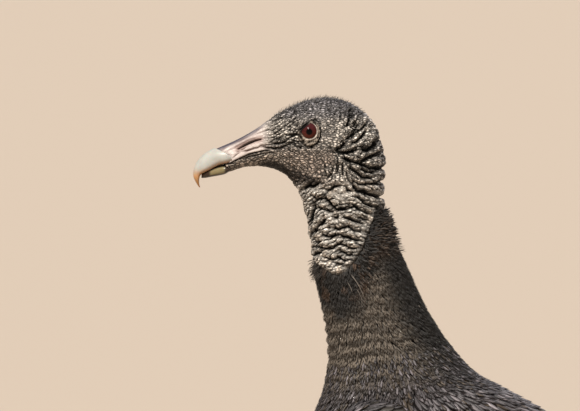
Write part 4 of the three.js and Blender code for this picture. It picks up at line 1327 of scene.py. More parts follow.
def lower_horn():
    """Upright rings, flat on top where the upper sheath closes on them."""
    table = np.array(LOWER_HORN)
    rows = spline(table, np.linspace(0, len(table) - 1, LOWER_HORN_ROWS))
    turn = turns(HORN_COLUMNS)[None]
    middle = (rows[:, 1] + rows[:, 2])[:, None] / 2
    half = (rows[:, 1] - rows[:, 2])[:, None] / 2
    side = rows[:, 3:4] * fuller(np.sin(turn), 0.7)
    return np.stack([np.broadcast_to(rows[:, :1], side.shape), side, middle + half * np.cos(turn)], -1)


# Horn, polished by use: a little light passes through it, and faint clouds 3 mm across tone it.
horn_material, tree, out = new_material("pale_bill_horn")
tone = node(tree, "Attribute", {"attribute_name": "tone"}).outputs["Color"]
place = node(tree, "TexCoord").outputs["Object"]
grain = node(tree, "TexNoise", Vector=place, Scale=1 / (3.0 * MM), Detail=4.0).outputs["Fac"]
faint = node(tree, "MapRange", Value=grain, From_Min=0.3, From_Max=0.7, To_Min=0.9, To_Max=1.04)
colour = node(tree, "VectorMath", {"operation": "SCALE"}, _0=tone, Scale=faint.outputs["Result"])
shader = node(
    tree, "BsdfPrincipled",
    Base_Color=colour.outputs["Vector"], Roughness=0.3, Subsurface_Weight=0.12, Subsurface_Scale=1.5 * MM,
)
tree.links.new(shader.outputs[0], out.inputs[0])

CUTTING_EDGE = [(-45.6, 463.8), (-54, 461.7), (-60.6, 458.4), (-65, 456)]
horn = upper_horn()
x, z = horn[..., 0], horn[..., 2]
edge_near = ramp(line_distance(x, z, CUTTING_EDGE)[0], 3.2, 0.3)
horn_colour = painted(
    "b6b7b2",
    (ramp(x, -52.0, -46.0) * 0.6, "9aa0a2"),
    (edge_near * 0.8, "b9875c"),
    (ramp(z, 461.0, 454.5), "c79667"),
    (ramp(z, 456.0, 450.0), "9a6a37"),
)
upper = Assembly()
upper.add(capped(horn), (0.80, 0.92, 0.04, 0.05), with_ends(horn_colour))
upper.finish("bill_upper_horn", horn_material, "horn", ("bill_upper",))

horn = lower_horn()
x, z = horn[..., 0], horn[..., 2]
rim_top = z.max(1, keepdims=True)
rim_low = z.min(1, keepdims=True)
horn_colour = painted(
    "857a58",
    (ramp(x, -51.4, -50.2), "3a2f28"),
    (ramp(z, rim_low + 1.6, rim_low + 0.6), "1d1814"),
    # the top edge, darkened as painted shade in the gap under the upper sheath
    (ramp(z, rim_top - 1.6, rim_top - 0.9), "120e0b"),
    (ramp(x, -58.6, -60.6), "2c1d11"),
)
lower = Assembly()
lower.add(capped(horn), (0.85, 0.92, 0.04, 0.05), with_ends(horn_colour))
lower.finish("bill_lower_horn", horn_material, "horn", ("bill_lower",))


# ---------- Eyes ----------
# Wet glossy balls with a clear bulge in front, held by the lids. The iris is dark red-brown round a
# small black pupil, and darker towards its rim.

PUPIL_RADIUS = 1.55
IRIS_RIM = (4.9, 5.5)
CORNEA_RADIUS = 5.2
CORNEA_BULGE = 0.75
EYE_ROWS = 90
EYE_COLUMNS = 72

# The eyeball's colour under a film of tears, which gives one small sharp glint of the sun.
eye_material, tree, out = new_material("wet_eye")
tone = node(tree, "Attribute", {"attribute_name": "tone"}).outputs["Color"]
shader = node(
    tree, "BsdfPrincipled", Base_Color=tone, Roughness=0.4, Specular_IOR_Level=0.0,
    Coat_Weight=1.0, Coat_Roughness=0.16, Coat_IOR=1.2,
)
tree.links.new(shader.outputs[0], out.inputs[0])

# A ball by the angle from its front and the turn round its axis, which points aside.
eye_polar, eye_round = np.meshgrid(np.linspace(0, math.pi, EYE_ROWS), turns(EYE_COLUMNS), indexing="ij")
from_axis = EYEBALL_RADIUS * np.sin(eye_polar)
in_front = eye_polar < math.pi / 2
bulge = CORNEA_BULGE * ramp(from_axis, CORNEA_RADIUS, 0.0) * in_front
ray_x = np.sin(eye_polar) * np.cos(eye_round)
ray_z = np.sin(eye_polar) * np.sin(eye_round)
ball = np.stack([ray_x, -np.cos(eye_polar), ray_z], -1) * (EYEBALL_RADIUS + bulge)[..., None]
spoke_place = np.stack([np.cos(eye_round) * 9, np.sin(eye_round) * 9, from_axis * 0.25], -1)
spokes = noise(spoke_place, 1.0, 61)
eye_colour = painted(
    "4a201c",
    (ramp(ball[..., 2], -1.0, 3.5) * 0.6, "3b1b22"),
    (ramp(ball[..., 2], 0.5, -4.0) * 0.5, "5c2e1c"),
    (ramp(from_axis, *IRIS_RIM), "1d0d0b"),
    (ramp(from_axis, PUPIL_RADIUS + 0.5, PUPIL_RADIUS + 0.1), "1d0f0e"),
    (ramp(from_axis, PUPIL_RADIUS + 0.15, PUPIL_RADIUS - 0.15), "050404"),
)
eye_colour = eye_colour * (1 + 0.3 * spokes)[..., None]
for number, (name, side) in enumerate((("left", 1), ("right", -1))):
    eye = Assembly()
    middle = np.array([EYE[0], -side * EYEBALL_ASIDE, EYE[1] + EYE_RAISED])
    eye.add(ball * [1, side, 1] + middle, (0.90, 0.92 + 0.03 * number, 0.04, 0.02), eye_colour)
    eye.finish(f"eyeball_{name}", eye_material, "eye", (f"eye_{name}",))


# ---------- Claws ----------
# Black blunt claws of horn, arched and tapering. One grows from the end of each toe, and its tip
# rests just over the ground.

CLAW_COLOUR = "2b2624"
CLAW_LENGTH = 13.0
CLAW_RADII = (2.7, 0.3)
CLAW_FLATNESS = 0.75  # width by height
CLAW_ARCH = 2.4
CLAW_TIP_HEIGHT = 0.9

# Horn, worn to a dull gloss.
claw_material, tree, out = new_material("black_claw_horn")
shader = node(tree, "BsdfPrincipled", Base_Color=linear(CLAW_COLOUR), Roughness=0.35)
tree.links.new(shader.outputs[0], out.inputs[0])
for name, side in (("left", -1), ("right", 1)):
    claws = Assembly()
    for number, (turn, length, root, end, knuckles) in enumerate(TOES.values()):
        way, across = toe_ways(turn, side)
        share = np.linspace(-0.12, 1, 28)  # from inside the toe to the tip
        forward = np.clip(share, 0, 1)
        radius = CLAW_RADII[0] + (CLAW_RADII[1] - CLAW_RADII[0]) * forward**0.9
        height = end * SOLE_SINK + 0.4
        height = height + (CLAW_TIP_HEIGHT - height) * forward**2 + CLAW_ARCH * np.sin(math.pi * forward)
        middles = FOOT * [1, side, 0] + way * (length + 0.3 + share * CLAW_LENGTH)[:, None]
        middles = middles + UPWARD * height[:, None]
        claw = tube(middles, radius, radius * CLAW_FLATNESS, UPWARD, across, 20)
        claws.add(capped(claw), (0.95, 0.90 + 0.02 * number, 0.015, 0.015), rgb(CLAW_COLOUR))
    claws.finish(f"claws_{name}", claw_material, "claw", [f"claw_{name}_{toe}" for toe in TOES])


# ---------- Crown bristles, and feathers of the neck ----------
# Short stiff bristles stand on the crown. Small soft feathers cover the neck, and stand out as a ruff
# at the nape. Every feather is a thin vane that grows from the skin and follows the body's surface
# towards the tail.


def lay(sheet, u, v, shape, length, turn=0.0, sink=3.0, lift=0.0, bend=0.8):
    """Spines that grow from u and v and follow the sheet, with their sideways and outward directions.

    Points of the spine lie at the shares of its length that shape lists. It goes along the sheet's
    own way, turned by turn. It rises from sink under the sheet at its root to lift over it at its
    tip, as the share of its length ^ bend.
    """
    spine, sideways, outwards = [], [], []
    own = (np.broadcast_to(value, u.shape)[:, None] for value in (turn, length, sink, lift))
    turn, length, sink, lift = own
    shares = [share for share, width in shape] + [1.0]
    for share, following in zip(shares[:-1], shares[1:]):
        tables = (sheet.along, sheet.over, sheet.normals)
        along, over, normal = (sheet.read(table, u, v) for table in tables)
        ahead = unit(along)
        beside = unit(over - dot(over, ahead) * ahead)
        way = ahead * np.cos(turn) + beside * np.sin(turn)
        spine.append(sheet.place(u, v) + normal * (-sink + (sink + lift) * share**bend))
        sideways.append(np.cross(normal, way))
        outwards.append(normal)
        # The way forward in millimetres is turned to steps of u and v.
        e, f, g = dot(along, along), dot(along, over), dot(over, over)
        p, q = dot(way, along), dot(way, over)
        step = (following - share) * length / (e * g - f * f)
        u = u + ((g * p - f * q) * step)[:, 0]
        v = v + ((e * q - f * p) * step)[:, 0]
    return np.stack(spine, 1), np.stack(sideways, 1), np.stack(outwards, 1)


def sprout(sheet, u, v, shape, length, way, sink=1.5, droop=0.0):
    """Spines that stand out from u and v along way, and droop as the square of the share passed."""
    normal = sheet.read(sheet.normals, u, v)
    root = sheet.place(u, v) - normal * sink
    share = np.array([at for at, width in shape])[None, :, None]
    length = np.broadcast_to(length, u.shape)[:, None, None]
    fall = np.array([0, 0, -1.0]) * droop * length * share**2
    spine = root[:, None] + unit(way)[:, None] * length * share + fall
    direction = unit(np.gradient(spine, axis=1))
    sideways = unit(np.cross(normal[:, None], direction))
    return spine, sideways, np.cross(direction, sideways)


def vanes(spines, shape, half, thick=0.3, arch=0.25, across=3):
    """Closed solid vanes round the spines, as wide as shape tells at each of its shares.

    Rings stand at the spine's inner points. Their upper edge runs half * width to each side in
    across points, bent down by arch * (share of the side)^2. With thick the lower edge lies that
    far below it in the middle; with none, it is straight from side to side.
    """
    spine, sideways, outwards = spines
    widths = np.array([width for share, width in shape])[1:-1]
    count, rings = len(spine), len(widths)
    c = np.linspace(-1, 1, across)
    low = c[1:-1][::-1] if thick else c[:0]
    c = np.concatenate([c, low])
    under = np.concatenate([np.zeros(across), 1 - low**2])
    reach = (np.broadcast_to(half, count)[:, None] * widths[None])[:, :, None, None]
    points = spine[:, 1:-1, None] + sideways[:, 1:-1, None] * reach * c[:, None]
    depth = thick * np.sqrt(widths)[None, :, None, None] * under[:, None]
    down = reach * arch * (c**2)[:, None] + depth
    points = points - outwards[:, 1:-1, None] * down
    loop = len(c)
    ring, k = np.meshgrid(np.arange(rings - 1), np.arange(loop), indexing="ij")
    a = ring * loop + k
    b = ring * loop + (k + 1) % loop
    one = np.arange(loop)
    two = (one + 1) % loop
    last = (rings - 1) * loop
    root, tip = rings * loop, rings * loop + 1
    faces = np.concatenate([
        np.stack([a, a + loop, b + loop], -1).reshape(-1, 3),
        np.stack([a, b + loop, b], -1).reshape(-1, 3),
        np.stack([np.full(loop, root), one, two], -1),
        np.stack([last + one, np.full(loop, tip), last + two], -1),
    ])
    points = np.concatenate([points.reshape(count, -1, 3), spine[:, :1], spine[:, -1:]], 1)
    faces = faces[None] + np.arange(count)[:, None, None] * (rings * loop + 2)
    shares = np.array([share for share, width in shape])
    across_map = np.concatenate([np.tile(c, rings), [0, 0]])
    along_map = np.concatenate([np.repeat(shares[1:-1], loop), shares[[0, -1]]])
    return points.reshape(-1, 3), faces.reshape(-1, 3), np.stack([across_map, along_map], -1)


TUFT_PATCH = 0.0015  # half the size of a feather's patch in the map OFBake


class Coat(Assembly):
    """Feathers gathered for one mesh, each with its colour, and with a map along its vane."""

    def add(self, sheet, u, v, spines, shape, half, colours, **form):
        """Adds vanes on spines that grow from u and v. colours has one row for each."""
        points, faces, own_map = vanes(spines, shape, half, **form)
        corners = faces.ravel()
        vane_map = np.tile(own_map, (len(u), 1)) * 0.5 + [0.5, 0]
        patch = (own_map * [1, 2] - [0, 1]) * TUFT_PATCH
        bakes = (sheet.bake_place(u, v)[:, None] + patch[None]).reshape(-1, 2)
        maps = {"vane": vane_map[corners], "OFBake": bakes[corners]}
        self.gather(points, faces, maps, {"tone": np.repeat(colours, len(own_map), 0)})


def scattered(sheet, spacing, keep, rng):
    """Roots strewn over a sheet, one for each spacing^2 of its area, as often as keep tells.

    spacing and keep are numbers, or grids with a value for each point of the sheet.
    """
    density = sheet.areas * keep / np.asarray(spacing) ** 2
    number = int(density.sum())
    pick = rng.choice(density.size, number, p=density.ravel() / density.sum())
    u, v = np.unravel_index(pick, density.shape)
    u = u + rng.uniform(-0.5, 0.5, number)
    v = v + rng.uniform(-0.5, 0.5, number)
    return np.clip(u, 0, sheet.points.shape[0] - 1), v


def in_rows(sheet, rows, pitch, rng, jitter, part=(0.0, 1.0)):
    """Roots in rows across a sheet, pitch apart and staggered, in a part of each row by share."""
    u, v = [], []
    columns = sheet.points.shape[1]
    between = rows[1] - rows[0] if len(rows) > 1 else 0.0
    for number, row in enumerate(rows):
        at = np.arange(columns + (1 if sheet.closed else 0), dtype=float)
        run = run_along(sheet.read(sheet.points, np.full(len(at), row), at))
        start, end = part[0] * run[-1], part[1] * run[-1]
        many = max(int((end - start) / pitch[number]), 1)
        place = start + (np.arange(many) + 0.5 + 0.25 * (-1) ** number) * (end - start) / many
        place = place + rng.uniform(-jitter, jitter, many) * pitch[number]
        v.append(np.interp(place, run, at))
        u.append(row + rng.uniform(-jitter, jitter, many) * 0.6 * between)
    return np.concatenate(u), np.concatenate(v)


def toned(base, rng, number, spread=0.2, other=None, share=None):
    """A colour for each feather: base, moved by share towards other, and toned by chance."""
    colour = np.broadcast_to(rgb(base), (number, 3))
    if other is not None:
        colour = toward(colour, other, share)
    return colour * (1 + rng.uniform(-spread, spread, number))[:, None]


def feather_material(name, gloss, streak, sheen):
    """Feather: its tone, with a darker shaft, paler edges and slanting barbs as fine bumps.

    gloss is the roughness, streak how much the barbs lighten and darken it, and sheen adds softness.
    The barbs are drawn coarser than real ones, 46 to a feather, so that they show.
    """
    material, tree, out = new_material(name)
    tone = node(tree, "Attribute", {"attribute_name": "tone"}).outputs["Color"]
    vane = node(tree, "UVMap", {"uv_map": "vane"}).outputs["UV"]
    parts = node(tree, "SeparateXYZ", Vector=vane)
    across = node(tree, "Math", {"operation": "SUBTRACT"}, _0=parts.outputs["X"], _1=0.5).outputs[0]
    aside = node(tree, "Math", {"operation": "ABSOLUTE"}, _0=across).outputs[0]
    slant = node(tree, "Math", {"operation": "MULTIPLY_ADD"}, _0=aside, _1=-0.55, _2=parts.outputs["Y"])
    own = node(tree, "SeparateXYZ", Vector=tone).outputs["X"]  # differs from feather to feather
    row = node(tree, "CombineXYZ", X=slant.outputs[0], Y=across, Z=own).outputs[0]
    spread = node(tree, "VectorMath", {"operation": "MULTIPLY"}, _0=row, _1=(46.0, 2.5, 1.0))
    barbs = node(tree, "TexNoise", Vector=spread.outputs["Vector"], Scale=1.0, Detail=2.0).outputs["Fac"]
    drawn_out = node(tree, "VectorMath", {"operation": "MULTIPLY"}, _0=row, _1=(2.5, 11.0, 900.0))
    streaks = node(tree, "TexNoise", Vector=drawn_out.outputs["Vector"], Scale=1.0, Detail=2.0)
    shade = node(
        tree, "MapRange", Value=streaks.outputs["Fac"],
        From_Min=0.3, From_Max=0.7, To_Min=1.0 - streak, To_Max=1.0 + streak,
    ).outputs["Result"]
    shaft = node(
        tree, "MapRange", {"interpolation_type": "SMOOTHSTEP"},
        Value=aside, From_Min=0.0, From_Max=0.06, To_Min=0.6, To_Max=1.0,
    ).outputs["Result"]
    paler = node(
        tree, "MapRange", {"interpolation_type": "SMOOTHSTEP"},
        Value=aside, From_Min=0.28, From_Max=0.5, To_Min=1.0, To_Max=1.5,
    ).outputs["Result"]
    both = node(tree, "Math", {"operation": "MULTIPLY"}, _0=shade, _1=shaft).outputs[0]
    both = node(tree, "Math", {"operation": "MULTIPLY"}, _0=both, _1=paler).outputs[0]
    colour = node(tree, "VectorMath", {"operation": "SCALE"}, _0=tone, Scale=both)
    bump = node(tree, "Bump", Strength=0.5, Distance=0.3 * MM, Height=barbs)
    shader = node(
        tree, "BsdfPrincipled",
        Base_Color=colour.outputs["Vector"], Normal=bump.outputs["Normal"], Roughness=gloss,
        Sheen_Weight=sheen, Sheen_Roughness=0.5,
    )
    tree.links.new(shader.outputs[0], out.inputs[0])
    return material


# Soft narrow feathers without gloss, whose loose ends scatter the light.
velvet = feather_material("velvety_neck_feathers", gloss=0.7, streak=0.25, sheen=0.15)

# A feather's outline: its width at shares of its length, as a share of its greatest half width. Its
# form tells how thick it is, how much it arches and how many points go across it.
BRISTLE = ((0, 0), (0.3, 1), (0.7, 0.7), (1, 0))
TUFT = ((0, 0), (0.35, 1), (0.75, 0.8), (1, 0))
TUFT_FORM = {"thick": 0, "arch": 0.5}
rng = np.random.default_rng(11)

x, z = outline[..., 0], outline[..., 2]
bristled = ramp(z, 484.0, 497.0) * ramp(x, -30.0, -20.0)
bristled = bristled * (1 - 0.5 * ramp(np.abs(outline[..., 1]), 14.0, 20.0))
u, v = scattered(head_sheet, 1.35, bristled, rng)
way = head_sheet.read(head_sheet.normals, u, v) * rng.uniform(0.4, 1.2, len(u))[:, None]
way = way + unit(head_sheet.read(head_sheet.along, u, v)) + rng.normal(0, 0.25, way.shape)
spines = sprout(head_sheet, u, v, BRISTLE, rng.uniform(1.8, 3.8, len(u)), way, 0.5)
coat = Coat()
colours = toned("2c2a2c", rng, len(u), 0.4, "8a8580", rng.uniform(0, 1, len(u)) ** 3)
coat.add(head_sheet, u, v, spines, BRISTLE, 0.26, colours, thick=0)
coat.finish("crown_bristles", velvet, "plumage")

x, z = body_sheet.points[..., 0], seen_height(body_sheet.points)
below_bare = below_feather_line(x, z)
NECK_TOP = 11.3
NECK_END = 15.0
body_u = np.arange(len(body_rows))[:, None]


def row_of(station):
    """The row of the body's sheet at a ring number."""
    return (station - BODY_START) * ROWS_PER_STATION


down_neck = np.clip((body_rows - NECK_TOP) / (NECK_END - NECK_TOP), 0, 1)
on_neck_rows = ramp(body_u, row_of(NECK_END + 0.4), row_of(NECK_END - 0.4))
covered = ramp(below_bare, -0.6, 0.8) * on_neck_rows


def neck_tones(u, v, low, tips, rng):
    """Nearly black with rust under the bare skin and pale warm grey lower down, with painted shade at the
    rear, painted sheen in purplish grey near the shoulders, and painted light and shade over the ridges.
    """
    root = body_sheet.place(u, v)
    below = below_feather_line(root[:, 0], seen_height(root))
    behind = body_sheet.read(body_sheet.normals, u, v)[:, 0]
    rust = np.clip(1.8 * noise(root, 4.5, 73), 0, 1) * ramp(below, 34.0, 14.0)
    grey = ramp(below + 8 * noise(root, 9.0, 74), 18.0, 34.0) * ramp(low, 1.15, 0.7)
    # painted shade: the neck's rear, facing away from the sun, stays dark
    grey = grey * ramp(behind, 0.55, 0.1)
    colours = toned("191614", rng, len(u), 0.2)
    colours = toward(colours, "6e655b", 0.85 * grey)
    colours = toward(colours, "6f543f", 0.5 * rust)
    # painted sheen: purplish grey towards the shoulders
    colours = toward(colours, "47434a", 0.6 * ramp(low, 0.7, 1.05))
    # painted light and shade: lighter over the ridges and darker between them
    return colours * (1 + (0.15 + 0.6 * grey) * ridge_wave(tips))[:, None]


for part in ("upper", "lower"):
    u, v = scattered(body_sheet, 1.15 + 0.7 * down_neck[:, None], covered, rng)
    root = body_sheet.place(u, v)
    low = np.interp(u, body_u[:, 0], down_neck)
    length = (5.0 + 4.5 * low) * rng.uniform(0.85, 1.15, len(u))
    half = (0.42 + 0.3 * low) * rng.uniform(0.8, 1.2, len(u))
    turn = 0.22 * noise(root, 16.0, 71) + rng.normal(0, 0.14, len(u))
    lift = 0.2 + 0.7 * rng.uniform(0, 1, len(u)) ** 3
    spines = lay(body_sheet, u, v, TUFT, length, turn, 2.6, lift)
    coat = Coat()
    colours = neck_tones(u, v, low, spines[0][:, -1], rng)
    coat.add(body_sheet, u, v, spines, TUFT, half, colours, **TUFT_FORM)
    coat.finish(f"neck_feathers_{part}", velvet, "plumage")

at_nape = (z > 392) * (z < 434) * ramp(x, 22.0, 32.0)
at_nape = at_nape * ramp(below_bare, -1.4, 0.6) * ramp(below_bare, 30.0, 16.0)
u, v = scattered(body_sheet, 1.3, at_nape, rng)
root = body_sheet.place(u, v)
RUFF_RISE = ([392, 402, 412, 422, 432, 442], [-52, -30, 0, 28, 48, 58])  # height, then degrees
rise = np.radians(np.interp(root[:, 2], *RUFF_RISE)) + rng.normal(0, 0.22, len(u))
way = np.stack([np.cos(rise), root[:, 1] / 40, np.sin(rise)], -1)
way = way + rng.normal(0, 0.12, way.shape) + 0.25 * body_sheet.read(body_sheet.normals, u, v)
spines = sprout(body_sheet, u, v, TUFT, rng.uniform(4.0, 7.4, len(u)), way, 1.8, 0.15)
below = below_feather_line(root[:, 0], seen_height(root))
# Painted shadow: near the bare skin the ruff stays near black; further below some feathers are paler at
# random.
pale = ramp(below, 5.0, 14.0) * rng.uniform(0, 1, len(u)) ** 2
colours = toned("171311", rng, len(u), 0.35, "5a4a3d", pale)
coat = Coat()
coat.add(body_sheet, u, v, spines, TUFT, 0.45, colours, **TUFT_FORM)

# A little fuzz stands out in front, under the bare skin, and a few pale down wisps hang at the side.
at_throat = ramp(below_bare, -0.5, 0.5) * ramp(below_bare, 12.0, 6.0) * ramp(x, 12.0, 6.0)
u, v = scattered(body_sheet, 1.6, at_throat, rng)
way = body_sheet.read(body_sheet.normals, u, v) + [-0.3, 0, -0.5] + rng.normal(0, 0.35, (len(u), 3))
spines = sprout(body_sheet, u, v, TUFT, rng.uniform(3.0, 6.5, len(u)), way, 1.5, 0.3)
coat.add(body_sheet, u, v, spines, TUFT, 0.3, toned("2c2520", rng, len(u), 0.3), **TUFT_FORM)
WISP = ((0, 0), (0.2, 1), (0.4, 0.9), (0.6, 0.9), (0.8, 0.7), (1, 0))
WISPS = [(24.0, 397.0, 11.0), (24.6, 396.0, 12.5), (27.5, 388.0, 8.0), (22.8, 391.5, 6.0)]  # x, z, length
for along, up, length in WISPS:
    place = np.hypot(x - along, z - up) + 100 * (body_sheet.points[..., 1] > 0)
    u, v = (np.array([float(k)]) for k in np.unravel_index(np.argmin(place), place.shape))
    way = np.array([[0.8, -0.2, -1.0]]) + rng.normal(0, 0.15, (1, 3))
    spines = sprout(body_sheet, u, v, WISP, length, way, -0.8, 0.7)
    coat.add(body_sheet, u, v, spines, WISP, 0.2, rgb("7f776f")[None], **TUFT_FORM)
coat.finish("nape_ruff", velvet, "plumage")


# ---------- Feathers of shoulders, breast, back and belly ----------
# Longer glossy black feathers overlap like tiles. They are narrow and pointed on the lower neck and
# shoulders, and broad and rounded on back, breast and belly.

LANCE = ((0, 0), (0.2, 0.6), (0.45, 1.0), (0.72, 0.85), (0.9, 0.45), (1, 0))
ROUND = ((0, 0), (0.2, 0.6), (0.45, 0.95), (0.68, 1.0), (0.84, 0.86), (0.94, 0.58), (1, 0))
LANCE_FORM = {"thick": 0.25, "arch": 0.5}
SHOULDER_START = 13.6
SHOULDER_END = 17.0
SHOULDER_SPACING = 1.1  # between rows, in tenths of a ring number
BODY_SPACING = 2.3

# Firm closed vanes with a dull gloss, and barbs that catch the light in fine streaks.
black_feather = feather_material("glossy_black_feathers", gloss=0.42, streak=0.6, sheen=0.1)


def plumage_tones(number, rng, base="262321", paler="36312c"):
    """Near black with a little brown, and some feathers moved at random towards a paler tone."""
    return toned(base, rng, number, 0.22, paler, rng.uniform(0, 1, number) ** 3)


def shoulder_tones(number, rng):
    """Purplish grey, lighter than the other feathers as painted sheen; some feathers brown and some whitish
    as painted glints.
    """
    brown = rng.uniform(0, 1, number)[:, None] < 0.1
    return np.where(brown, toned("43382d", rng, number, 0.3), plumage_tones(number, rng, "322f33", "7d777c"))


coat = Coat()
rows = np.arange(row_of(SHOULDER_START), row_of(SHOULDER_END), SHOULDER_SPACING * ROWS_PER_STATION / 10)
u, v = in_rows(body_sheet, rows, np.linspace(2.4, 4.6, len(rows)), rng, 0.45)
size = np.clip((u - rows[0]) / (rows[-1] - rows[0]), 0, 1)
length = (13.0 + 10.0 * size) * rng.uniform(0.85, 1.15, len(u))
half = (1.4 + 1.6 * size) * rng.uniform(0.85, 1.15, len(u))
lift = rng.uniform(0.0, 0.9, len(u))
spines = lay(body_sheet, u, v, LANCE, length, rng.normal(0, 0.10, len(u)), 3.2, lift)
coat.add(body_sheet, u, v, spines, LANCE, half, shoulder_tones(len(u), rng), **LANCE_FORM)
coat.finish("shoulder_feathers", black_feather, "plumage")

coat = Coat()
rows = np.arange(row_of(SHOULDER_END - 0.4), row_of(BODY_END), BODY_SPACING * ROWS_PER_STATION / 10)
u, v = in_rows(body_sheet, rows, np.linspace(5.2, 6.2, len(rows)), rng, 0.3)
length = rng.uniform(23, 29, len(u))
turn = rng.normal(0, 0.08, len(u))
spines = lay(body_sheet, u, v, ROUND, length, turn, 4.6, rng.uniform(0, 0.8, len(u)))
half = rng.uniform(3.6, 4.6, len(u))
colours = plumage_tones(len(u), rng)
coat.add(body_sheet, u, v, spines, ROUND, half, colours, thick=0.35, arch=0.35, across=5)
coat.finish("body_feathers", black_feather, "plumage")


# ---------- Wings ----------
# The folded wing's coverts lie in tiled rows, small at the wrist and longer behind. From under them
# come the broad secondaries and, below and behind, the long primaries, whose ends cross the tail.

COVERT_ROWS = 17
COVERT_FORM = {"thick": 0.4, "arch": 0.2, "across": 5}
QUILL = (
    (0, 0), (0.06, 0.45), (0.25, 0.85), (0.5, 1), (0.72, 1), (0.86, 0.93), (0.94, 0.75),
    (0.985, 0.42), (1, 0),
)
SCAPULARS = ((0.40, 46, 8.0), (0.46, 50, 8.5), (0.52, 54, 8.5), (0.58, 56, 8.0))
SECONDARIES = [
    # part of the wing's width and of its length at the root, length, half width, turn
    (0.06, 0.36, 100, 12, 0.03), (0.19, 0.36, 112, 12.5, 0.02), (0.31, 0.36, 120, 12.5, 0.02),
    (0.43, 0.355, 126, 12.5, 0.02), (0.54, 0.35, 130, 12, 0.02), (0.65, 0.34, 132, 11.5, 0),
    (0.75, 0.33, 132, 11, -0.02), (0.85, 0.32, 130, 10.5, -0.05), (0.94, 0.31, 128, 10, -0.09),
]
PRIMARIES = [
    (0.94, 0.47, 148, 9.5, -0.10), (0.84, 0.48, 168, 9.5, -0.09), (0.74, 0.49, 184, 9.5, -0.07),
    (0.64, 0.50, 198, 9, -0.04), (0.55, 0.51, 204, 8.6, -0.02), (0.46, 0.52, 202, 8.4, 0),
]

# Stiff smooth vanes, a little glossier than the small feathers and without their softness.
quill_feather = feather_material("stiff_black_quills", gloss=0.4, streak=0.45, sheen=0.0)

for name, side in (("left", -1), ("right", 1)):
    sheet = wing_sheets[name]
    rng = np.random.default_rng(23 + side)
    coat = Coat()
    for number, share in enumerate(np.linspace(0, 1, COVERT_ROWS)):
        start = 0.005 + 0.38 * share**1.35
        last = 1.0 - 0.35 * ramp(share, 0.8, 1.0)
        pitch = 4.4 + 6.6 * share**1.6
        length = 16 + 40 * share**1.6
        half = 3.4 + 5.4 * share**1.5
        u, v = in_rows(sheet, [start * (WING_ROWS - 1)], [pitch], rng, 0.24, (0.0, last))
        u = u + rng.uniform(-1.1, 1.1, len(u)) * (0.5 + share)
        length = length * rng.uniform(0.93, 1.07, len(u))
        lift = rng.uniform(0.0, 0.5, len(u))
        turn = 0.06 + rng.normal(0, 0.03, len(u))
        spines = lay(sheet, u, v, ROUND, length, turn, 2.6, lift, 0.75)
        half = half * rng.uniform(0.95, 1.05, len(u))
        coat.add(sheet, u, v, spines, ROUND, half, plumage_tones(len(u), rng), **COVERT_FORM)
    # The small feathers of the wing's fore edge run on from the shoulder's.
    u, v = in_rows(sheet, np.arange(0.5, 26, 1.5), np.linspace(2.4, 4.2, 17), rng, 0.45, (0.0, 0.9))
    length = rng.uniform(11, 15, len(u)) + 0.25 * u
    half = rng.uniform(1.3, 2.0, len(u)) + 0.03 * u
    turn = 0.05 + rng.normal(0, 0.1, len(u))
    spines = lay(sheet, u, v, LANCE, length, turn, 2.2, rng.uniform(0.5, 1.2, len(u)))
    coat.add(sheet, u, v, spines, LANCE, half, shoulder_tones(len(u), rng), **LANCE_FORM)
    coat.finish(f"wing_coverts_{name}", black_feather, "plumage")

    # Long scapulars lie over the wing's upper edge and the roots of the innermost secondaries.
    coat = Coat()
    for share, length, half in SCAPULARS:
        part = (0.0, 0.34 - 0.3 * (share - 0.4))
        u, v = in_rows(sheet, [share * (WING_ROWS - 1)], [10.0], rng, 0.2, part)
        u = u + rng.uniform(-2, 2, len(u))
        turn = 0.04 + rng.normal(0, 0.03, len(u))
        spines = lay(sheet, u, v, ROUND, length, turn, 3.0, rng.uniform(0.3, 0.9, len(u)))
        half = half * rng.uniform(0.95, 1.05, len(u))
        coat.add(sheet, u, v, spines, ROUND, half, plumage_tones(len(u), rng), **COVERT_FORM)
    coat.finish(f"scapulars_{name}", black_feather, "plumage")

    # The quills lie in two fans, each feather a little under the one beside it.
    coat = Coat()
    for group, sink, lift in ((PRIMARIES, 4.4, -1.6), (SECONDARIES, 3.6, -0.2)):
        for number, (part, share, length, half, turn) in enumerate(group):
            u = np.array([share * (WING_ROWS - 1)])
            v = np.array([part * (WING_COLUMNS - 1)])
            under = 0.16 * (number if group is PRIMARIES else len(group) - number)
            spines = lay(sheet, u, v, QUILL, length, turn, sink + under, lift - under, 0.7)
            colour = toned("24211f", rng, 1, 0.15)
            coat.add(sheet, u, v, spines, QUILL, half, colour, thick=0.7, arch=0.1, across=7)
    coat.finish(f"wing_quills_{name}", quill_feather, "flight")


# ---------- Tail ----------
# Twelve broad stiff feathers, fanned a little, with a few rows of coverts over and under their roots.
# The middle ones lie on top.

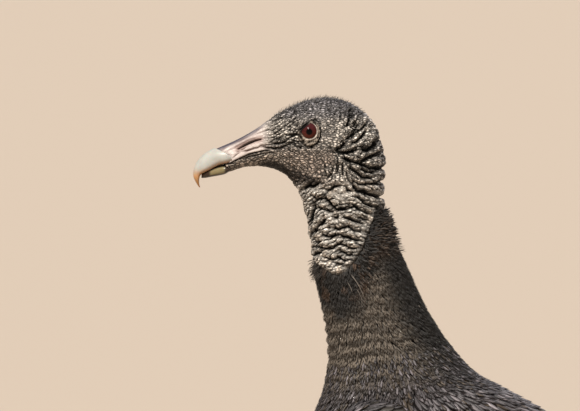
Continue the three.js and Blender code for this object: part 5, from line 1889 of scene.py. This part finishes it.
TAIL_QUILL = (
    (0, 0), (0.06, 0.5), (0.25, 0.75), (0.5, 0.9), (0.75, 1), (0.9, 0.97), (0.96, 0.8), (0.99, 0.5), (1, 0),
)
TAIL_QUILLS = 12
TAIL_QUILL_LENGTH = 188
TAIL_QUILL_HALF = 9.0
TAIL_FAN = 0.78  # the share of the tail's width that the quills' roots take up
rng = np.random.default_rng(31)
coat = Coat()
from_outside_in = sorted(np.linspace(-1, 1, TAIL_QUILLS), key=lambda value: -abs(value))
for number, aside in enumerate(from_outside_in):
    u = np.array([0.0])
    v = np.array([(TAIL_FAN * aside + 1) / 2 * (TAIL_COLUMNS - 1)])
    under = 2.6 - 0.2 * number
    length = TAIL_QUILL_LENGTH - 9 * aside**2
    spines = lay(tail_sheet, u, v, TAIL_QUILL, length, 0.045 * aside, 3.5 + under, -under, 0.8)
    colour = toned("1f1c1b", rng, 1, 0.15)
    coat.add(tail_sheet, u, v, spines, TAIL_QUILL, TAIL_QUILL_HALF, colour, thick=0.6, arch=0.08, across=5)
coat.finish("tail_quills", quill_feather, "flight")

# Coverts lie over the quills' roots, and under them as well.
coat = Coat()
for top, lift in ((1.5, 0.2), (-6.0, -7.2)):
    for start, length in ((0.0, 62), (3.0, 52), (6.0, 44)):
        u, v = in_rows(tail_sheet, [start], [6.5], rng, 0.15, (0.03, 0.97))
        spines = lay(tail_sheet, u, v, ROUND, length, rng.normal(0, 0.04, len(u)), 2.0 - top, lift, 0.7)
        coat.add(tail_sheet, u, v, spines, ROUND, 6.0, plumage_tones(len(u), rng), **COVERT_FORM)
coat.finish("tail_coverts", black_feather, "plumage")


# ---------- Shanks ----------
# Short soft feathers cover the legs down to the ankle like breeches. They lie downwards in rows and
# get smaller towards the ankle.

rng = np.random.default_rng(41)
coat = Coat()
for side, box in LEG_BOXES.items():
    sheet = Sheet(shank_points(side, 0.0), box, closed=True)
    rows = np.arange(0, SHANK_ROWS - 4, 2.6)
    u, v = in_rows(sheet, rows, np.interp(rows, [0, SHANK_ROWS - 1], [5.0, 2.4]), rng, 0.35)
    low = u / (SHANK_ROWS - 1)
    length = (20 - 9 * low) * rng.uniform(0.85, 1.15, len(u))
    half = (3.2 - 1.9 * low) * rng.uniform(0.85, 1.15, len(u))
    lift = rng.uniform(0, 0.8, len(u))
    spines = lay(sheet, u, v, LANCE, length, rng.normal(0, 0.12, len(u)), 4.0 - 2.8 * low, lift)
    coat.add(sheet, u, v, spines, LANCE, half, plumage_tones(len(u), rng), thick=0.3, arch=0.4)
coat.finish("shank_feathers", black_feather, "plumage")
